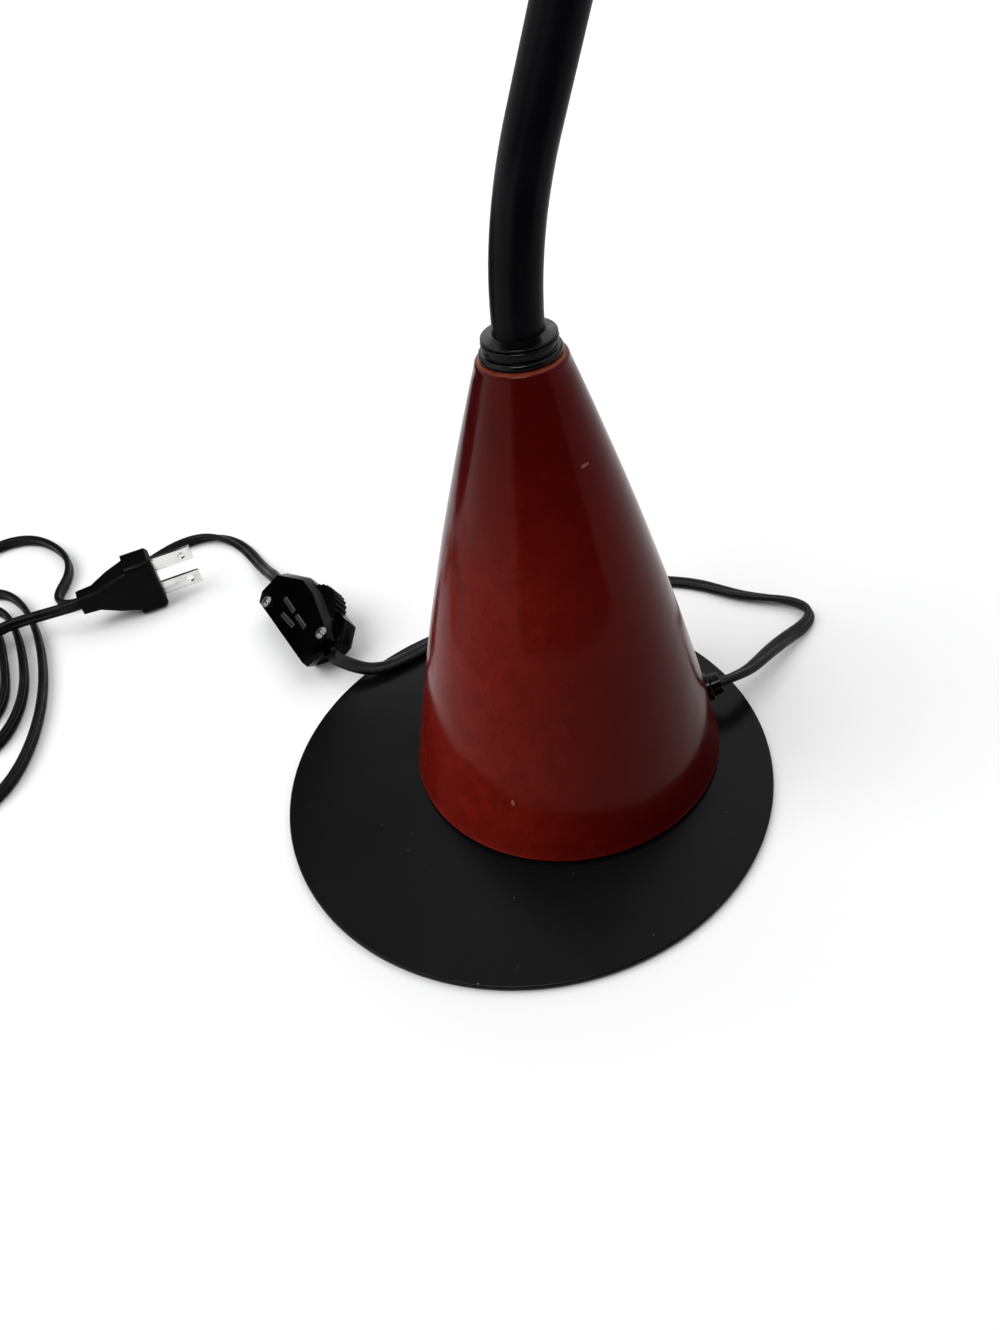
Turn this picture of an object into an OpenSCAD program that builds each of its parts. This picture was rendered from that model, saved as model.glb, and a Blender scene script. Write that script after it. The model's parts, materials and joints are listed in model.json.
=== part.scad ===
// Gooseneck desk lamp: round steel foot, hollow ceramic cone, sleeved flexible neck, spun shade,
// and a flat two-core lead with an in-line thumbwheel switch and a two-blade plug.
// Millimetres. Origin: centre of the foot's underside. Front is -Y, the neck stands at the back.

/* [Foot] */
// Diameter of the steel plate
plate_d = 165; // [140:1:200]
// Thickness of the steel plate
plate_t = 2.2; // [1.8:0.1:4]
// Rounding of the plate's rim
plate_round = 0.7; // [0.3:0.1:0.8]
// Thickness of the felt pad under the plate
pad_t = 0.8; // [0.6:0.1:2]
// How far the felt pad stays inside the plate's rim
pad_inset = 4; // [2:0.5:10]
// Distance of the cone's axis behind the plate's centre
cone_back = 18.2; // [10:0.1:24]
// Height of the pressed dish that hides the base nut
dish_h = 5; // [5:0.5:9]
// Radius of the dish's flat top
dish_r = 15; // [13:0.5:20]

/* [Cone] */
// Outer radius of the ceramic cone at its base
cone_r = 52.3; // [45:0.1:58]
// Height of the ceramic cone
cone_h = 144.4; // [120:0.1:170]
// Outer radius of the ceramic cone at its top
cone_top_r = 12; // [11:0.1:14]
// How much the side bulges between base and top
cone_bulge = 2.5; // [0:0.1:4]
// Thickness of the ceramic wall
cone_wall = 6; // [4:0.1:8]
// Thickness of the ceramic above the hollow
cone_cap = 9; // [7:0.5:14]
// Thickness of the foam ring under the cone
gasket_t = 0.6; // [0.4:0.1:1.5]

/* [Cord outlet] */
// Direction of the cord outlet seen from above, from +X towards +Y
outlet_angle = 66; // [50:1:110]
// Height of the cord outlet above the plate
outlet_h = 9.2; // [8.5:0.1:20]
// Radius of the outlet bush's shank
bush_r = 4.2; // [4:0.1:5.5]
// Thickness of the outlet bush's flange
bush_flange_t = 1.6; // [1:0.1:3]
// Length of the outlet bush's tapered nose
bush_nose = 4; // [3:0.5:9]

/* [Neck] */
// Diameter of the smooth sleeve on the neck
neck_d = 13.3; // [12.6:0.1:15]
// Wall of the sleeve
sleeve_wall = 1; // [0.6:0.1:1.1]
// Length of the lowest bending stretch
neck_first = 48; // [40:1:60]
// Length of each further bending stretch
neck_cell = 48; // [44:1:56]
// Outer radius of the jointed core's tube
core_r = 4.7; // [4.3:0.1:4.8]
// Radius of the core's balls
ball_r = 4.2; // [4:0.05:4.3]
// Radial clearance between ball and cup
ball_gap = 0.05; // [0.02:0.01:0.1]
// Radius of the core's wire way
wire_r = 2; // [1.6:0.1:2.1]

/* [Collar] */
// Diameter of the collar's lower ring
collar_low_d = 21.4; // [20:0.1:23]
// Diameter of the collar's upper ring
collar_top_d = 19.8; // [18.5:0.1:22]
// Height of the collar's lower piece, its ring and the neck above it
collar_low_h = 3.6; // [3:0.1:6]
// Height of the collar's upper piece at the sleeve
collar_top_h = 2.6; // [2.4:0.1:5]

/* [Shade] */
// Radius of the shade's mouth
shade_r = 54; // [48:0.5:58]
// Length of the shade along its axis
shade_l = 82; // [74:1:95]
// Radius of the shade's narrow end
shade_back_r = 23; // [22:0.5:28]
// Thickness of the shade's sheet
shade_t = 1; // [0.8:0.1:1.5]
// Radius of the rolled bead round the mouth
bead_r = 1.5; // [1:0.1:2.5]

/* [Lampholder] */
// Outer radius of the lampholder's body
holder_r = 16.8; // [16.4:0.1:18]
// Length of the lampholder's body
holder_l = 40; // [36:0.5:46]
// Radius of the bulb's screw cap
bulb_cap_r = 13; // [12.8:0.1:13.1]
// Radius of the bulb's globe
bulb_r = 23; // [20:0.5:25]

/* [Switch] */
// Length of the in-line switch
switch_l = 52; // [48:1:60]
// Width of the in-line switch
switch_w = 23; // [23:0.5:28]
// Height of the in-line switch
switch_h = 14; // [13:0.5:18]
// Radius of the thumbwheel
wheel_r = 13; // [11:0.1:13.1]
// Thickness of the thumbwheel
wheel_t = 7; // [5:0.5:7.5]
// Number of grip flutes round the thumbwheel
wheel_flutes = 32; // [24:1:40]

/* [Plug and cord] */
// Width of the plug across its flange
plug_w = 25.5; // [25:0.5:33]
// Thickness of the plug
plug_t = 14; // [12:0.5:16]
// Length of the plug's body
plug_l = 34; // [31:0.5:42]
// Length of the plug's blades
blade_l = 17; // [15:0.5:18]
// Spacing of the plug's blades
blade_pitch = 12.7; // [12:0.1:13]
// Width of the flat cord
cord_w = 5.4; // [5:0.1:5.6]
// Thickness of the flat cord
cord_t = 2.8; // [2.4:0.1:2.9]

/* [Hidden] */
$fn = 96;
eps = 0.01;
press = 0.05; // clearance of pieces that sit in one another
slip = 0.3;   // clearance of pieces that only stand side by side

NECK_N = 8;

// ---- heights of the foot and cone
plate_z = pad_t;
plate_top = plate_z + plate_t;
gasket_z = plate_top;
cone_z = gasket_z + gasket_t;
cone_top = cone_z + cone_h;
cone_steps = 20;
cone_rim = 1.6;
seat_r = 7.6;
seat_h = 2.5;

// ---- stem pipe and its nut
pipe_r = 5;
pipe_bore = 3.2;
nut_af = 14;
nut_h = 3;
washer_r = 9;
washer_t = 1;
dish_wall = 4;  // how far the dish's side runs out
dish_roof = plate_top + dish_h - plate_t;
pipe_z0 = dish_roof - washer_t - nut_h - 0.4;
collar_z = cone_top;
sleeve_r = neck_d / 2;
sleeve_bore = sleeve_r - sleeve_wall;
neck_z0 = cone_top + 4;    // where the lowest sleeve starts, inside the collar
cup_r = sleeve_bore - 0.3;
cup_low = 1.6;
cup_high = 4.4;
stem_r = 2.7;
shoulder = 3.6;            // from a ball's centre to the tube that carries it

// Bend of each stretch of the neck in degrees, positive towards the front
neck_turn = [-25.3, 0, 8, 22, 40, 46, 38, 16];

function cell_l(i) = i == 0 ? neck_first : neck_cell;
function lean(i, f = 0) = (i == 0 ? 0 : lean(i - 1, 1)) + neck_turn[i] * f;
function reach(l, t0, a) = abs(a) < 0.01
    ? l * [sin(t0), cos(t0)]
    : l / (a * PI / 180) * [cos(t0) - cos(t0 + a), sin(t0 + a) - sin(t0)];
function neck_at(i, f = 0) = (i == 0 ? [0, neck_z0] : neck_at(i - 1, 1))
    + reach(cell_l(i) * f, lean(i), neck_turn[i] * f);
neck_end = neck_at(NECK_N - 1, 1);
neck_lean = lean(NECK_N - 1, 1);
echo(neck_joints = [for (i = [0 : NECK_N - 1])
    [0, cone_back - neck_at(i, 0.5)[0], neck_at(i, 0.5)[1], lean(i, 0.5)]]);
echo(neck_end = [0, cone_back - neck_end[0], neck_end[1], neck_lean]);

// ---- head, measured along its axis from the neck's end
cap_w0 = 2;
cap_l = 28;
cap_r = 21;
cap_wall = 1.5;
cap_w1 = cap_w0 + cap_l;
holder_w0 = 13;
holder_bore = 14.2;
shell_r = bulb_cap_r + 0.7;
shell_t = 0.4;
holder_floor = 6;
shell_w0 = holder_w0 + holder_floor + 3;
shell_l = 23;
ring_l = 5;
ring_r = 20.5;
bulb_w0 = shell_w0 + 3;
bulb_cap_l = 24;
button_h = 3;
button_r = 4.5;
bulb_l = 84;
bulb_w1 = bulb_w0 + bulb_l;
glass_t = 0.9;
nipple_r = 4.8;
head_nut_h = 4;
nipple_w1 = cap_w0 + cap_wall + head_nut_h + 1.2;

// ---- in-line switch, rolled up on the long edge away from its wheel
switch_at = [-118.7, -27.9, -0.9];
switch_turn = -4.9;
switch_roll = 28;
switch_split = switch_h / 2;
wheel_at = [3, 2.6];
wheel_gap = 0.4;
wheel_z0 = switch_split - wheel_t / 2;
wheel_pin_r = 2.5;
edge_cut = 1.6;
screw_at = [[8 - switch_l / 2, 2.9 - switch_w / 2], [switch_l / 2 - 4.6, 1.8]];
contact_at = [14 - switch_l / 2, switch_l / 2 - 9];
contact_v = 2.9 - switch_w / 2;
cord_side = -1;      // how far the cord enters beside the middle of the switch's ends
screw_r = 1.5;
screw_head_r = 2.6;

// ---- plug
plug_face = [-189, -58.5];
plug_turn = -12;
plug_z = plug_w / 2 + 0.3;
flange_l = 11.5;
tail_w = 10;
tail_t = 8.5;
blade_w = 6.35;
blade_t = 1.5;

// ---- cord routes. Points are [x, y, z, roll]; roll 0 lies flat, 90 stands on edge
outlet_z = plate_top + outlet_h;
outlet_r = cone_out(outlet_z - cone_z);
bush_lip = 0.8;
outlet_tilt = 13;    // how far the outlet looks up, square to the cone's side
outlet_dir = [cos(outlet_angle) * cos(outlet_tilt), sin(outlet_angle) * cos(outlet_tilt), sin(outlet_tilt)];
outlet_tip = [outlet_r * cos(outlet_angle), cone_back + outlet_r * sin(outlet_angle), outlet_z]
    + outlet_dir * (bush_flange_t + bush_nose);

function switch_point(s, v, z) =
    let (y = (v + switch_w / 2) * cos(switch_roll) - z * sin(switch_roll),
         up = (v + switch_w / 2) * sin(switch_roll) + z * cos(switch_roll))
    switch_at + [s * cos(switch_turn) - y * sin(switch_turn),
        s * sin(switch_turn) + y * cos(switch_turn), up];
switch_head = [-cos(switch_turn), -sin(switch_turn), 0];
lamp_end = switch_point(switch_l / 2, cord_side, switch_split);
arc_end = switch_point(-switch_l / 2, cord_side, switch_split);
function plug_point(x, y, z) = [
    plug_face[0] + x * cos(plug_turn) - y * sin(plug_turn),
    plug_face[1] + x * sin(plug_turn) + y * cos(plug_turn), z];

lamp_route = concat(
    [concat(outlet_tip, -35), concat(outlet_tip + outlet_dir * 4.5 - [0, 0, 0.3], -30)],
    [[24.6, 81.5, 12.4, -24], [22.6, 90, 11.1, -8], [20.4, 98, 9.2, 10], [18.4, 106, 7, 25],
     [16.8, 113.5, 4.8, 42], [15.6, 120, 3.3, 56], [14, 126, 2.9, 65], [11, 129.8, 2.9, 65],
     [6, 130, 2.9, 60], [0, 127.5, 2.9, 50], [-7, 122.5, 2.8, 35], [-14, 118, 2.4, 20], [-22, 115, 2, 10],
     [-30, 112, 1.7, 0], [-38, 107, 1.6, 0], [-47, 99, 1.6, 0], [-56, 88, 1.6, 0], [-65, 75, 1.6, 0],
     [-72, 61, 2, 0], [-76, 47, 3.6, 0], [-77, 34, 4.8, 0], [-75.5, 21, 4.6, 0], [-74.3, 9, 4.6, 0],
     [-74.7, -2, 4.6, 0], [-75.5, -10.5, 5, -5], [-78.3, -17.5, 6.3, -14], [-83, -21.7, 8.6, -23]],
    [concat(lamp_end - switch_head * 4 - [0, 0, 0.4], -28), concat(lamp_end, -28)]);

// ---- hank of the unneeded length: a spiral of loops drawn in at the waist
hank_at = [-186, -141];
hank_turn = -15.7;
hank_loops = 3;
hank_rings = 24;
hank_z = cord_w / 2 + 0.15;
hank_t0 = 210;
// How far the loops reach to each side of the hank's middle, k turns from its inner end
function hank_right(k) = 20.6 + 4 * k + 6 * k * k;
function hank_left(k) = 43 + 12 * k;
function hank_up(k) = 6 + 7.75 * k;
function hank_down(k) = 2.2 * hank_up(k);
function hank_point(k) =
    let (t = hank_t0 - 360 * k,
         x = cos(t) * (cos(t) > 0 ? hank_right(k) : hank_left(k)),
         y = sin(t) * (sin(t) > 0 ? hank_up(k) : hank_down(k)))
    [hank_at[0] + x * cos(hank_turn) - y * sin(hank_turn),
     hank_at[1] + x * sin(hank_turn) + y * cos(hank_turn), hank_z];
hank_steps = hank_loops * hank_rings;
hank_route = [for (k = [0 : hank_steps]) concat(hank_point(k / hank_rings), 90)];
hank_inner = hank_point(0);
hank_outer = hank_point(hank_loops);

arc_route = concat(
    [concat(arc_end, -28), concat(arc_end + switch_head * 5 - [0, 0, 0.4], -28)],
    [[-156, -18.3, 8.6, -20], [-164, -18, 6, -10], [-172, -17.4, 3.6, 0], [-181, -16.8, 2, 0],
     [-191, -16.2, 1.6, 0], [-201, -17, 1.7, 5], [-210, -20, 2.2, 25], [-216.5, -25.5, 2.8, 55],
     [-219.5, -33, 3, 80], [-220.2, -42, 3, 90], [-218.5, -51, 3, 90], [-216, -60, 3, 90],
     [-214, -69, 3, 90], [-212.5, -78, 3, 90], [-211.5, -86, 3, 90], [-212, -92.5, 3, 90],
     [-215, -97.5, 3, 90], [-220, -99, 3, 90], [-225.5, -97, 3, 90], [-231, -92, 3, 90],
     [-238, -87.5, 3, 90], [-247, -84.8, 3, 90], [-257, -84.5, 3, 90], [-268, -86.5, 3, 90],
     [-278, -90.5, 3, 90], [-285, -97, 3, 90], [-288, -105, 3, 90], [-287.5, -114, 3, 90],
     [-284, -123, 3, 90], [-278, -130.5, 3, 90], [-271, -136.5, 3, 90], [-265, -143.8, 2.9, 90]],
    [concat(hank_outer, 90)]);
tail_route = concat(
    [concat(plug_point(0, -plug_l, plug_z), 90), concat(plug_point(0, -plug_l - 5, plug_z - 0.4), 90)],
    [[-202, -105.5, 11.6, 90], [-206, -110.5, 10, 90], [-210, -115, 9.2, 90], [-212, -120.5, 9, 90],
     [-212, -127, 9, 90], [-211.2, -133, 7.6, 90], [-210, -139, 5.2, 90], [-210.5, -144, 3.6, 90],
     [-214.2, -145.6, 3, 90], [-218.7, -142.2, 2.9, 90]],
    [concat(hank_inner, 90)]);

function cut(p) = [p[0], p[1], p[2]];
function path_l(r, k = 1) = k >= len(r) ? 0 : norm(cut(r[k]) - cut(r[k - 1])) + path_l(r, k + 1);
echo(lamp_cord_length = path_l(lamp_route), arc_length = path_l(arc_route),
     hank_length = path_l(hank_route), tail_length = path_l(tail_route));
echo(hank_least_gap = min([for (i = [0 : hank_steps], j = [i + 6 : 1 : hank_steps])
    norm(cut(hank_route[i]) - cut(hank_route[j]))]) - cord_t);

// ---- shared shapes

// Half width of the cone's outside at height z above its base
function cone_out(z) = cone_r + (cone_top_r - cone_r) * z / cone_h
    + 4 * cone_bulge * (z / cone_h) * (1 - z / cone_h);

module at_cone() {
    translate([0, cone_back, 0])
        children();
}

// A tube of radius ro and bore ri, l long from the origin up, leaning by turn degrees towards -Y
module bent_tube(l, turn, ro, ri) {
    if (abs(turn) < 0.01) {
        difference() {
            cylinder(h = l, r = ro);
            translate([0, 0, -1])
                cylinder(h = l + 2, r = ri);
        }
    } else {
        bend_r = l / (abs(turn) * PI / 180);
        mirror([0, turn < 0 ? 1 : 0, 0])
            translate([0, -bend_r, 0])
                rotate([90, 0, 90])
                    rotate_extrude(angle = abs(turn))
                        translate([bend_r, 0])
                            difference() {
                                circle(r = ro);
                                circle(r = ri);
                            }
    }
}

// Moves to the point at share f of stretch i of the neck, with +Z along it
module on_neck(i, f) {
    p = neck_at(i, f);
    translate([0, cone_back - p[0], p[1]])
        rotate([lean(i, f), 0, 0])
            children();
}

module on_head() {
    on_neck(NECK_N - 1, 1)
        children();
}

// The part of stretch i from share f0 to f1
module stretch(i, f0, f1, ro, ri) {
    on_neck(i, f0)
        bent_tube(cell_l(i) * (f1 - f0), neck_turn[i] * (f1 - f0), ro, ri);
}

// A flat cord: an eight-sided oval swept along a route of [x, y, z, roll]
function unit(v) = v / norm(v);
function heading(r, k) = unit(cut(r[min(k + 1, len(r) - 1)]) - cut(r[max(k - 1, 0)]));
function ring_at(r, k, head, sides) =
    let (side = unit(cross([0, 0, 1], head)),
         up = cross(head, side),
         wide = side * cos(r[k][3]) + up * sin(r[k][3]),
         thin = cross(head, wide))
    [for (a = [0 : sides - 1]) let (t = 360 * (a + 0.5) / sides)
        cut(r[k]) + (wide * cord_w * cos(t) + thin * cord_t * sin(t)) / 2 / cos(180 / sides)];
module flat_cord(r, sides, first = undef, last = undef) {
    n = len(r);
    points = [for (k = [0 : n - 1]) each ring_at(r, k,
        k == 0 && !is_undef(first) ? first : k == n - 1 && !is_undef(last) ? last : heading(r, k), sides)];
    faces = concat(
        [[for (a = [0 : sides - 1]) a]],
        [[for (a = [sides - 1 : -1 : 0]) (n - 1) * sides + a]],
        [for (k = [0 : n - 2], a = [0 : sides - 1], h = [0, 1])
            let (b = (a + 1) % sides, lo = k * sides, hi = lo + sides)
            h == 0 ? [lo + a, hi + a, lo + b] : [lo + b, hi + a, hi + b]]);
    polyhedron(points, faces, convexity = 10);
}

// A washer or ring round Z
module ring(r_out, r_in, h) {
    difference() {
        cylinder(h = h, r = r_out);
        translate([0, 0, -1])
            cylinder(h = h + 2, r = r_in);
    }
}

module hex(af, h) {
    cylinder(h = h, r = af / 2 / cos(30), $fn = 6);
}

// ---- foot

module felt_pad() {
    color("dimgray")
        cylinder(h = pad_t, r = plate_d / 2 - pad_inset);
}

module base_plate() {
    rim = plate_d / 2;
    color("#17171a")
        difference() {
            union() {
                translate([0, 0, plate_z])
                    rotate_extrude() {
                        square([rim - plate_round, plate_t]);
                        translate([0, plate_round])
                            square([rim, plate_t - 2 * plate_round]);
                        for (z = [plate_round, plate_t - plate_round])
                            translate([rim - plate_round, z])
                                circle(r = plate_round, $fn = 24);
                    }
                at_cone()
                    translate([0, 0, plate_top])
                        cylinder(h = dish_h, r1 = dish_r + dish_wall, r2 = dish_r);
            }
            at_cone() {
                translate([0, 0, plate_z - eps])
                    cylinder(h = dish_roof - plate_z + eps, r1 = dish_r + dish_wall - plate_t,
                        r2 = dish_r - plate_t);
                translate([0, 0, -1])
                    cylinder(h = plate_top + dish_h + 2, r = pipe_r + slip);
            }
        }
}

module cone_gasket() {
    color("#3a3532")
        at_cone()
            translate([0, 0, gasket_z])
                ring(cone_r - 1.2, cone_r - cone_wall + 0.4, gasket_t);
}

// ---- cone

module ceramic_cone() {
    outer = [for (k = [0 : cone_steps])
        let (z = cone_rim + (cone_h - 2 * cone_rim) * k / cone_steps) [cone_out(z), z]];
    inner = [for (k = [cone_steps : -1 : 0])
        let (z = (cone_h - cone_cap) * k / cone_steps) [max(cone_out(z) - cone_wall, pipe_r + 2), z]];
    color("#6e1712")
        at_cone()
            difference() {
                translate([0, 0, cone_z])
                    rotate_extrude()
                        difference() {
                            union() {
                                polygon(concat([[0, 0], [cone_r - cone_rim, 0]], outer,
                                    [[cone_top_r - cone_rim, cone_h], [0, cone_h]]));
                                translate([cone_out(cone_rim) - cone_rim, cone_rim])
                                    circle(r = cone_rim, $fn = 32);
                                translate([cone_out(cone_h - cone_rim) - cone_rim, cone_h - cone_rim])
                                    circle(r = cone_rim, $fn = 32);
                            }
                            polygon(concat([[-1, -1], [cone_r - cone_wall, -1]],
                                [for (k = [len(inner) - 1 : -1 : 0]) inner[k]],
                                [[-1, cone_h - cone_cap]]));
                            translate([-1, 0])
                                square([pipe_r + slip + 1, cone_h + 1]);
                            translate([-1, cone_h - seat_h])
                                square([seat_r + 1, seat_h + 1]);
                        }
                at_outlet()
                    translate([0, 0, -2 * cone_wall])
                        cylinder(h = 2 * cone_wall + 5, r = bush_r);
            }
}

// On the cone's surface at the cord outlet, with +Z square to the surface
module at_outlet() {
    translate([0, 0, outlet_z])
        rotate([0, 0, outlet_angle])
            translate([outlet_r, 0, 0])
                rotate([0, 90 - outlet_tilt, 0])
                    children();
}

module cord_bush() {
    shank_in = -cone_wall - 2;
    color("#101012")
        at_cone()
            at_outlet()
                difference() {
                    union() {
                        translate([0, 0, shank_in])
                            cylinder(h = 1 - shank_in, r = bush_r - press);
                        translate([0, 0, 0.1])
                            cylinder(h = bush_flange_t, r = bush_r + bush_lip);
                        translate([0, 0, bush_flange_t])
                            cylinder(h = bush_nose, r1 = bush_r, r2 = cord_w / 2 + 0.9);
                    }
                    translate([0, 0, shank_in - 1])
                        cylinder(h = 4 - shank_in, r = 2.9);
                }
}

// ---- stem and collar

module stem_pipe() {
    color("goldenrod")
        at_cone()
            translate([0, 0, pipe_z0])
                ring(pipe_r, pipe_bore, neck_z0 - 2 - pipe_z0);
}

module base_washer() {
    color("silver")
        at_cone()
            translate([0, 0, dish_roof - washer_t])
                ring(washer_r, pipe_r + 0.2, washer_t);
}

module base_nut() {
    color("silver")
        at_cone()
            translate([0, 0, dish_roof - washer_t - nut_h])
                difference() {
                    hex(nut_af, nut_h);
                    translate([0, 0, -1])
                        cylinder(h = nut_h + 2, r = pipe_r + press);
                }
}

// Lower ring: sits on the ceramic and centres the stem in its seat
module collar_ring() {
    r = collar_low_d / 2;
    bead = 1;
    waist = 1.3;
    color("#131315")
        at_cone()
            translate([0, 0, collar_z])
                difference() {
                    union() {
                        rotate_extrude() {
                            square([r - waist, collar_low_h]);
                            square([r - bead, 2 * bead]);
                            translate([r - bead, bead])
                                circle(r = bead, $fn = 32);
                        }
                        translate([0, 0, -seat_h + 0.3])
                            cylinder(h = seat_h, r = seat_r - 0.2);
                    }
                    translate([0, 0, -seat_h])
                        cylinder(h = collar_low_h + seat_h + 1, r = pipe_r + press);
                }
}

// Upper piece: a thin bead and a lip, and a low rise that holds the lowest end of the sleeve
module collar_cap() {
    r = collar_top_d / 2;
    bead = 0.5;
    lip = 0.4;
    lip_z = 2 * bead + 0.25;
    color("#131315")
        at_cone()
            translate([0, 0, collar_z + collar_low_h])
                difference() {
                    rotate_extrude() {
                        square([r - 0.9, lip_z + lip]);
                        square([r + 0.1 - bead, 2 * bead]);
                        translate([r + 0.1 - bead, bead])
                            circle(r = bead, $fn = 24);
                        translate([0, lip_z])
                            square([r - lip, 2 * lip]);
                        translate([r - lip, lip_z + lip])
                            circle(r = lip, $fn = 24);
                        polygon([[0, lip_z + lip], [r - lip, lip_z + 2 * lip - eps],
                            [sleeve_r, collar_top_h], [0, collar_top_h]]);
                    }
                    translate([0, 0, neck_z0 - collar_z - collar_low_h])
                        cylinder(h = collar_top_h, r = sleeve_r + press);
                    translate([0, 0, -1])
                        cylinder(h = collar_top_h, r = pipe_r + press);
                }
}

// ---- neck

// A short ferrule round the neck's core, with its own tighter way for the wires
module ferrule(z0, z1, r) {
    translate([0, 0, z0])
        ring(r, wire_r - 0.1, z1 - z0);
}

// Cup and tube of the half stretch above joint i
module link_cup(i) {
    difference() {
        union() {
            on_neck(i, 0.5)
                translate([0, 0, -cup_low])
                    cylinder(h = cup_low + cup_high, r = cup_r);
            stretch(i, 0.5 + 3 / cell_l(i), 1 - 1 / cell_l(i), core_r, wire_r);
        }
        on_neck(i, 0.5) {
            sphere(r = ball_r + ball_gap);
            cylinder(h = cup_high + 1, r = wire_r - 0.1);
        }
    }
}

// Tube, stem and ball of the half stretch below joint i
module link_ball(i) {
    stretch(i, 1 / cell_l(i), 0.5 - shoulder / cell_l(i), core_r, wire_r);
    on_neck(i, 0.5)
        difference() {
            union() {
                translate([0, 0, -shoulder - 0.8])
                    cylinder(h = shoulder + 0.8, r = stem_r);
                sphere(r = ball_r);
            }
            translate([0, 0, -shoulder - 1])
                cylinder(h = shoulder + ball_r + 2, r = wire_r - 0.2);
        }
}

// Link i runs from ball joint i - 1 to ball joint i
module neck_link(i) {
    color("slategray")
        union() {
            if (i > 0)
                link_cup(i - 1);
            if (i < NECK_N)
                link_ball(i);
            if (i < NECK_N)
                on_neck(i, 0)
                    ferrule(-2, 2, core_r + 0.2);
            else
                on_head()
                    ferrule(-3, nipple_w1, nipple_r);
        }
}

module neck_sleeve(i) {
    color("#161618")
        stretch(i, 0, 1, sleeve_r, sleeve_bore);
}

// ---- head

module head_collar() {
    color("#131315")
        on_head()
            translate([0, 0, -5])
                difference() {
                    union() {
                        cylinder(h = 5 + cap_w0, r = sleeve_r + 2.2);
                        translate([0, 0, 5 + cap_w0 - 3])
                            cylinder(h = 3, r = sleeve_r + 3.4);
                    }
                    translate([0, 0, -1])
                        cylinder(h = 6.2, r = sleeve_r + 0.4);
                    cylinder(h = 10, r = nipple_r + press);
                }
}

module socket_cap() {
    color("#17171a")
        on_head()
            difference() {
                translate([0, 0, cap_w0])
                    cap_form(cap_r, cap_l);
                translate([0, 0, cap_w0 + cap_wall])
                    cap_form(cap_r - cap_wall, cap_l + 1);
                cylinder(h = 10, r = nipple_r + press);
            }
}

// A bell with a small flat top, a rounded shoulder and a straight skirt
module cap_form(r, l) {
    shoulder_r = r - 10;
    rotate_extrude() {
        square([r - shoulder_r, l]);
        translate([0, shoulder_r])
            square([r, l - shoulder_r]);
        intersection() {
            translate([r - shoulder_r, shoulder_r])
                circle(r = shoulder_r);
            square([r, l]);
        }
    }
}

module socket_nut() {
    color("silver")
        on_head()
            translate([0, 0, cap_w0 + cap_wall])
                difference() {
                    hex(nut_af, head_nut_h);
                    translate([0, 0, -1])
                        cylinder(h = head_nut_h + 2, r = nipple_r + press);
                }
}

module lampholder() {
    color("#1b1b1e")
        on_head()
            translate([0, 0, holder_w0])
                difference() {
                    union() {
                        cylinder(h = holder_l, r = holder_r);
                        cylinder(h = cap_w1 - holder_w0 - 1, r = cap_r - cap_wall - press);
                    }
                    translate([0, 0, holder_floor])
                        cylinder(h = holder_l, r = holder_bore);
                    translate([0, 0, -1])
                        cylinder(h = 10, r = 3);
                }
}

module screw_shell() {
    color("goldenrod")
        on_head()
            translate([0, 0, shell_w0])
                ring(shell_r + shell_t, shell_r, shell_l);
}

module centre_contact() {
    tongue_l = bulb_w0 - holder_w0 - holder_floor;
    color("goldenrod")
        on_head()
            translate([0, 0, holder_w0 + holder_floor]) {
                translate([-9, -2.5, 0])
                    cube([12, 5, 0.6]);
                cylinder(h = tongue_l - slip, r = 2.5);
            }
}

// Spun sheet: a flat shoulder that bears on the cap, a flare and a rolled bead
module shade() {
    flare = atan2(shade_r - shade_back_r, shade_l);
    color("#17171a")
        on_head()
            translate([0, 0, cap_w1])
                rotate_extrude() {
                    polygon([[holder_r + slip, 0], [shade_back_r, 0], [shade_r, shade_l],
                        [shade_r - shade_t / cos(flare), shade_l],
                        [shade_back_r - shade_t / cos(flare) + shade_t * tan(flare), shade_t],
                        [holder_r + slip, shade_t]]);
                    translate([shade_r + bead_r - shade_t, shade_l])
                        circle(r = bead_r, $fn = 32);
                }
}

module shade_ring() {
    grips = 12;
    color("#1b1b1e")
        on_head()
            translate([0, 0, cap_w1 + shade_t])
                difference() {
                    cylinder(h = ring_l, r = ring_r);
                    translate([0, 0, -1])
                        cylinder(h = ring_l + 2, r = holder_r + press);
                    for (k = [0 : grips - 1])
                        rotate([0, 0, 360 / grips * k])
                            translate([ring_r + 0.8, 0, 1.5])
                                cylinder(h = ring_l, r = 1.6, $fn = 24);
                }
}

module bulb_cap() {
    color("silver")
        on_head()
            translate([0, 0, bulb_w0]) {
                translate([0, 0, button_h])
                    difference() {
                        cylinder(h = bulb_cap_l - button_h, r = bulb_cap_r);
                        translate([0, 0, 1])
                            cylinder(h = bulb_cap_l, r = bulb_cap_r - 1.6);
                        for (k = [0 : 4])
                            translate([0, 0, 2.5 + 3.6 * k])
                                rotate_extrude()
                                    translate([bulb_cap_r + 0.5, 0])
                                        circle(r = 1.2, $fn = 24);
                    }
                cylinder(h = button_h, r1 = button_r, r2 = bulb_cap_r - 3);
            }
}

module bulb_glass() {
    globe = bulb_w1 - bulb_w0 - bulb_cap_l - bulb_r;
    color("white", 0.8)
        on_head()
            translate([0, 0, bulb_w0 + bulb_cap_l])
                rotate_extrude()
                    difference() {
                        bulb_form(globe, 0, 0);
                        bulb_form(globe, glass_t, -1);
                    }
}

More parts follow.
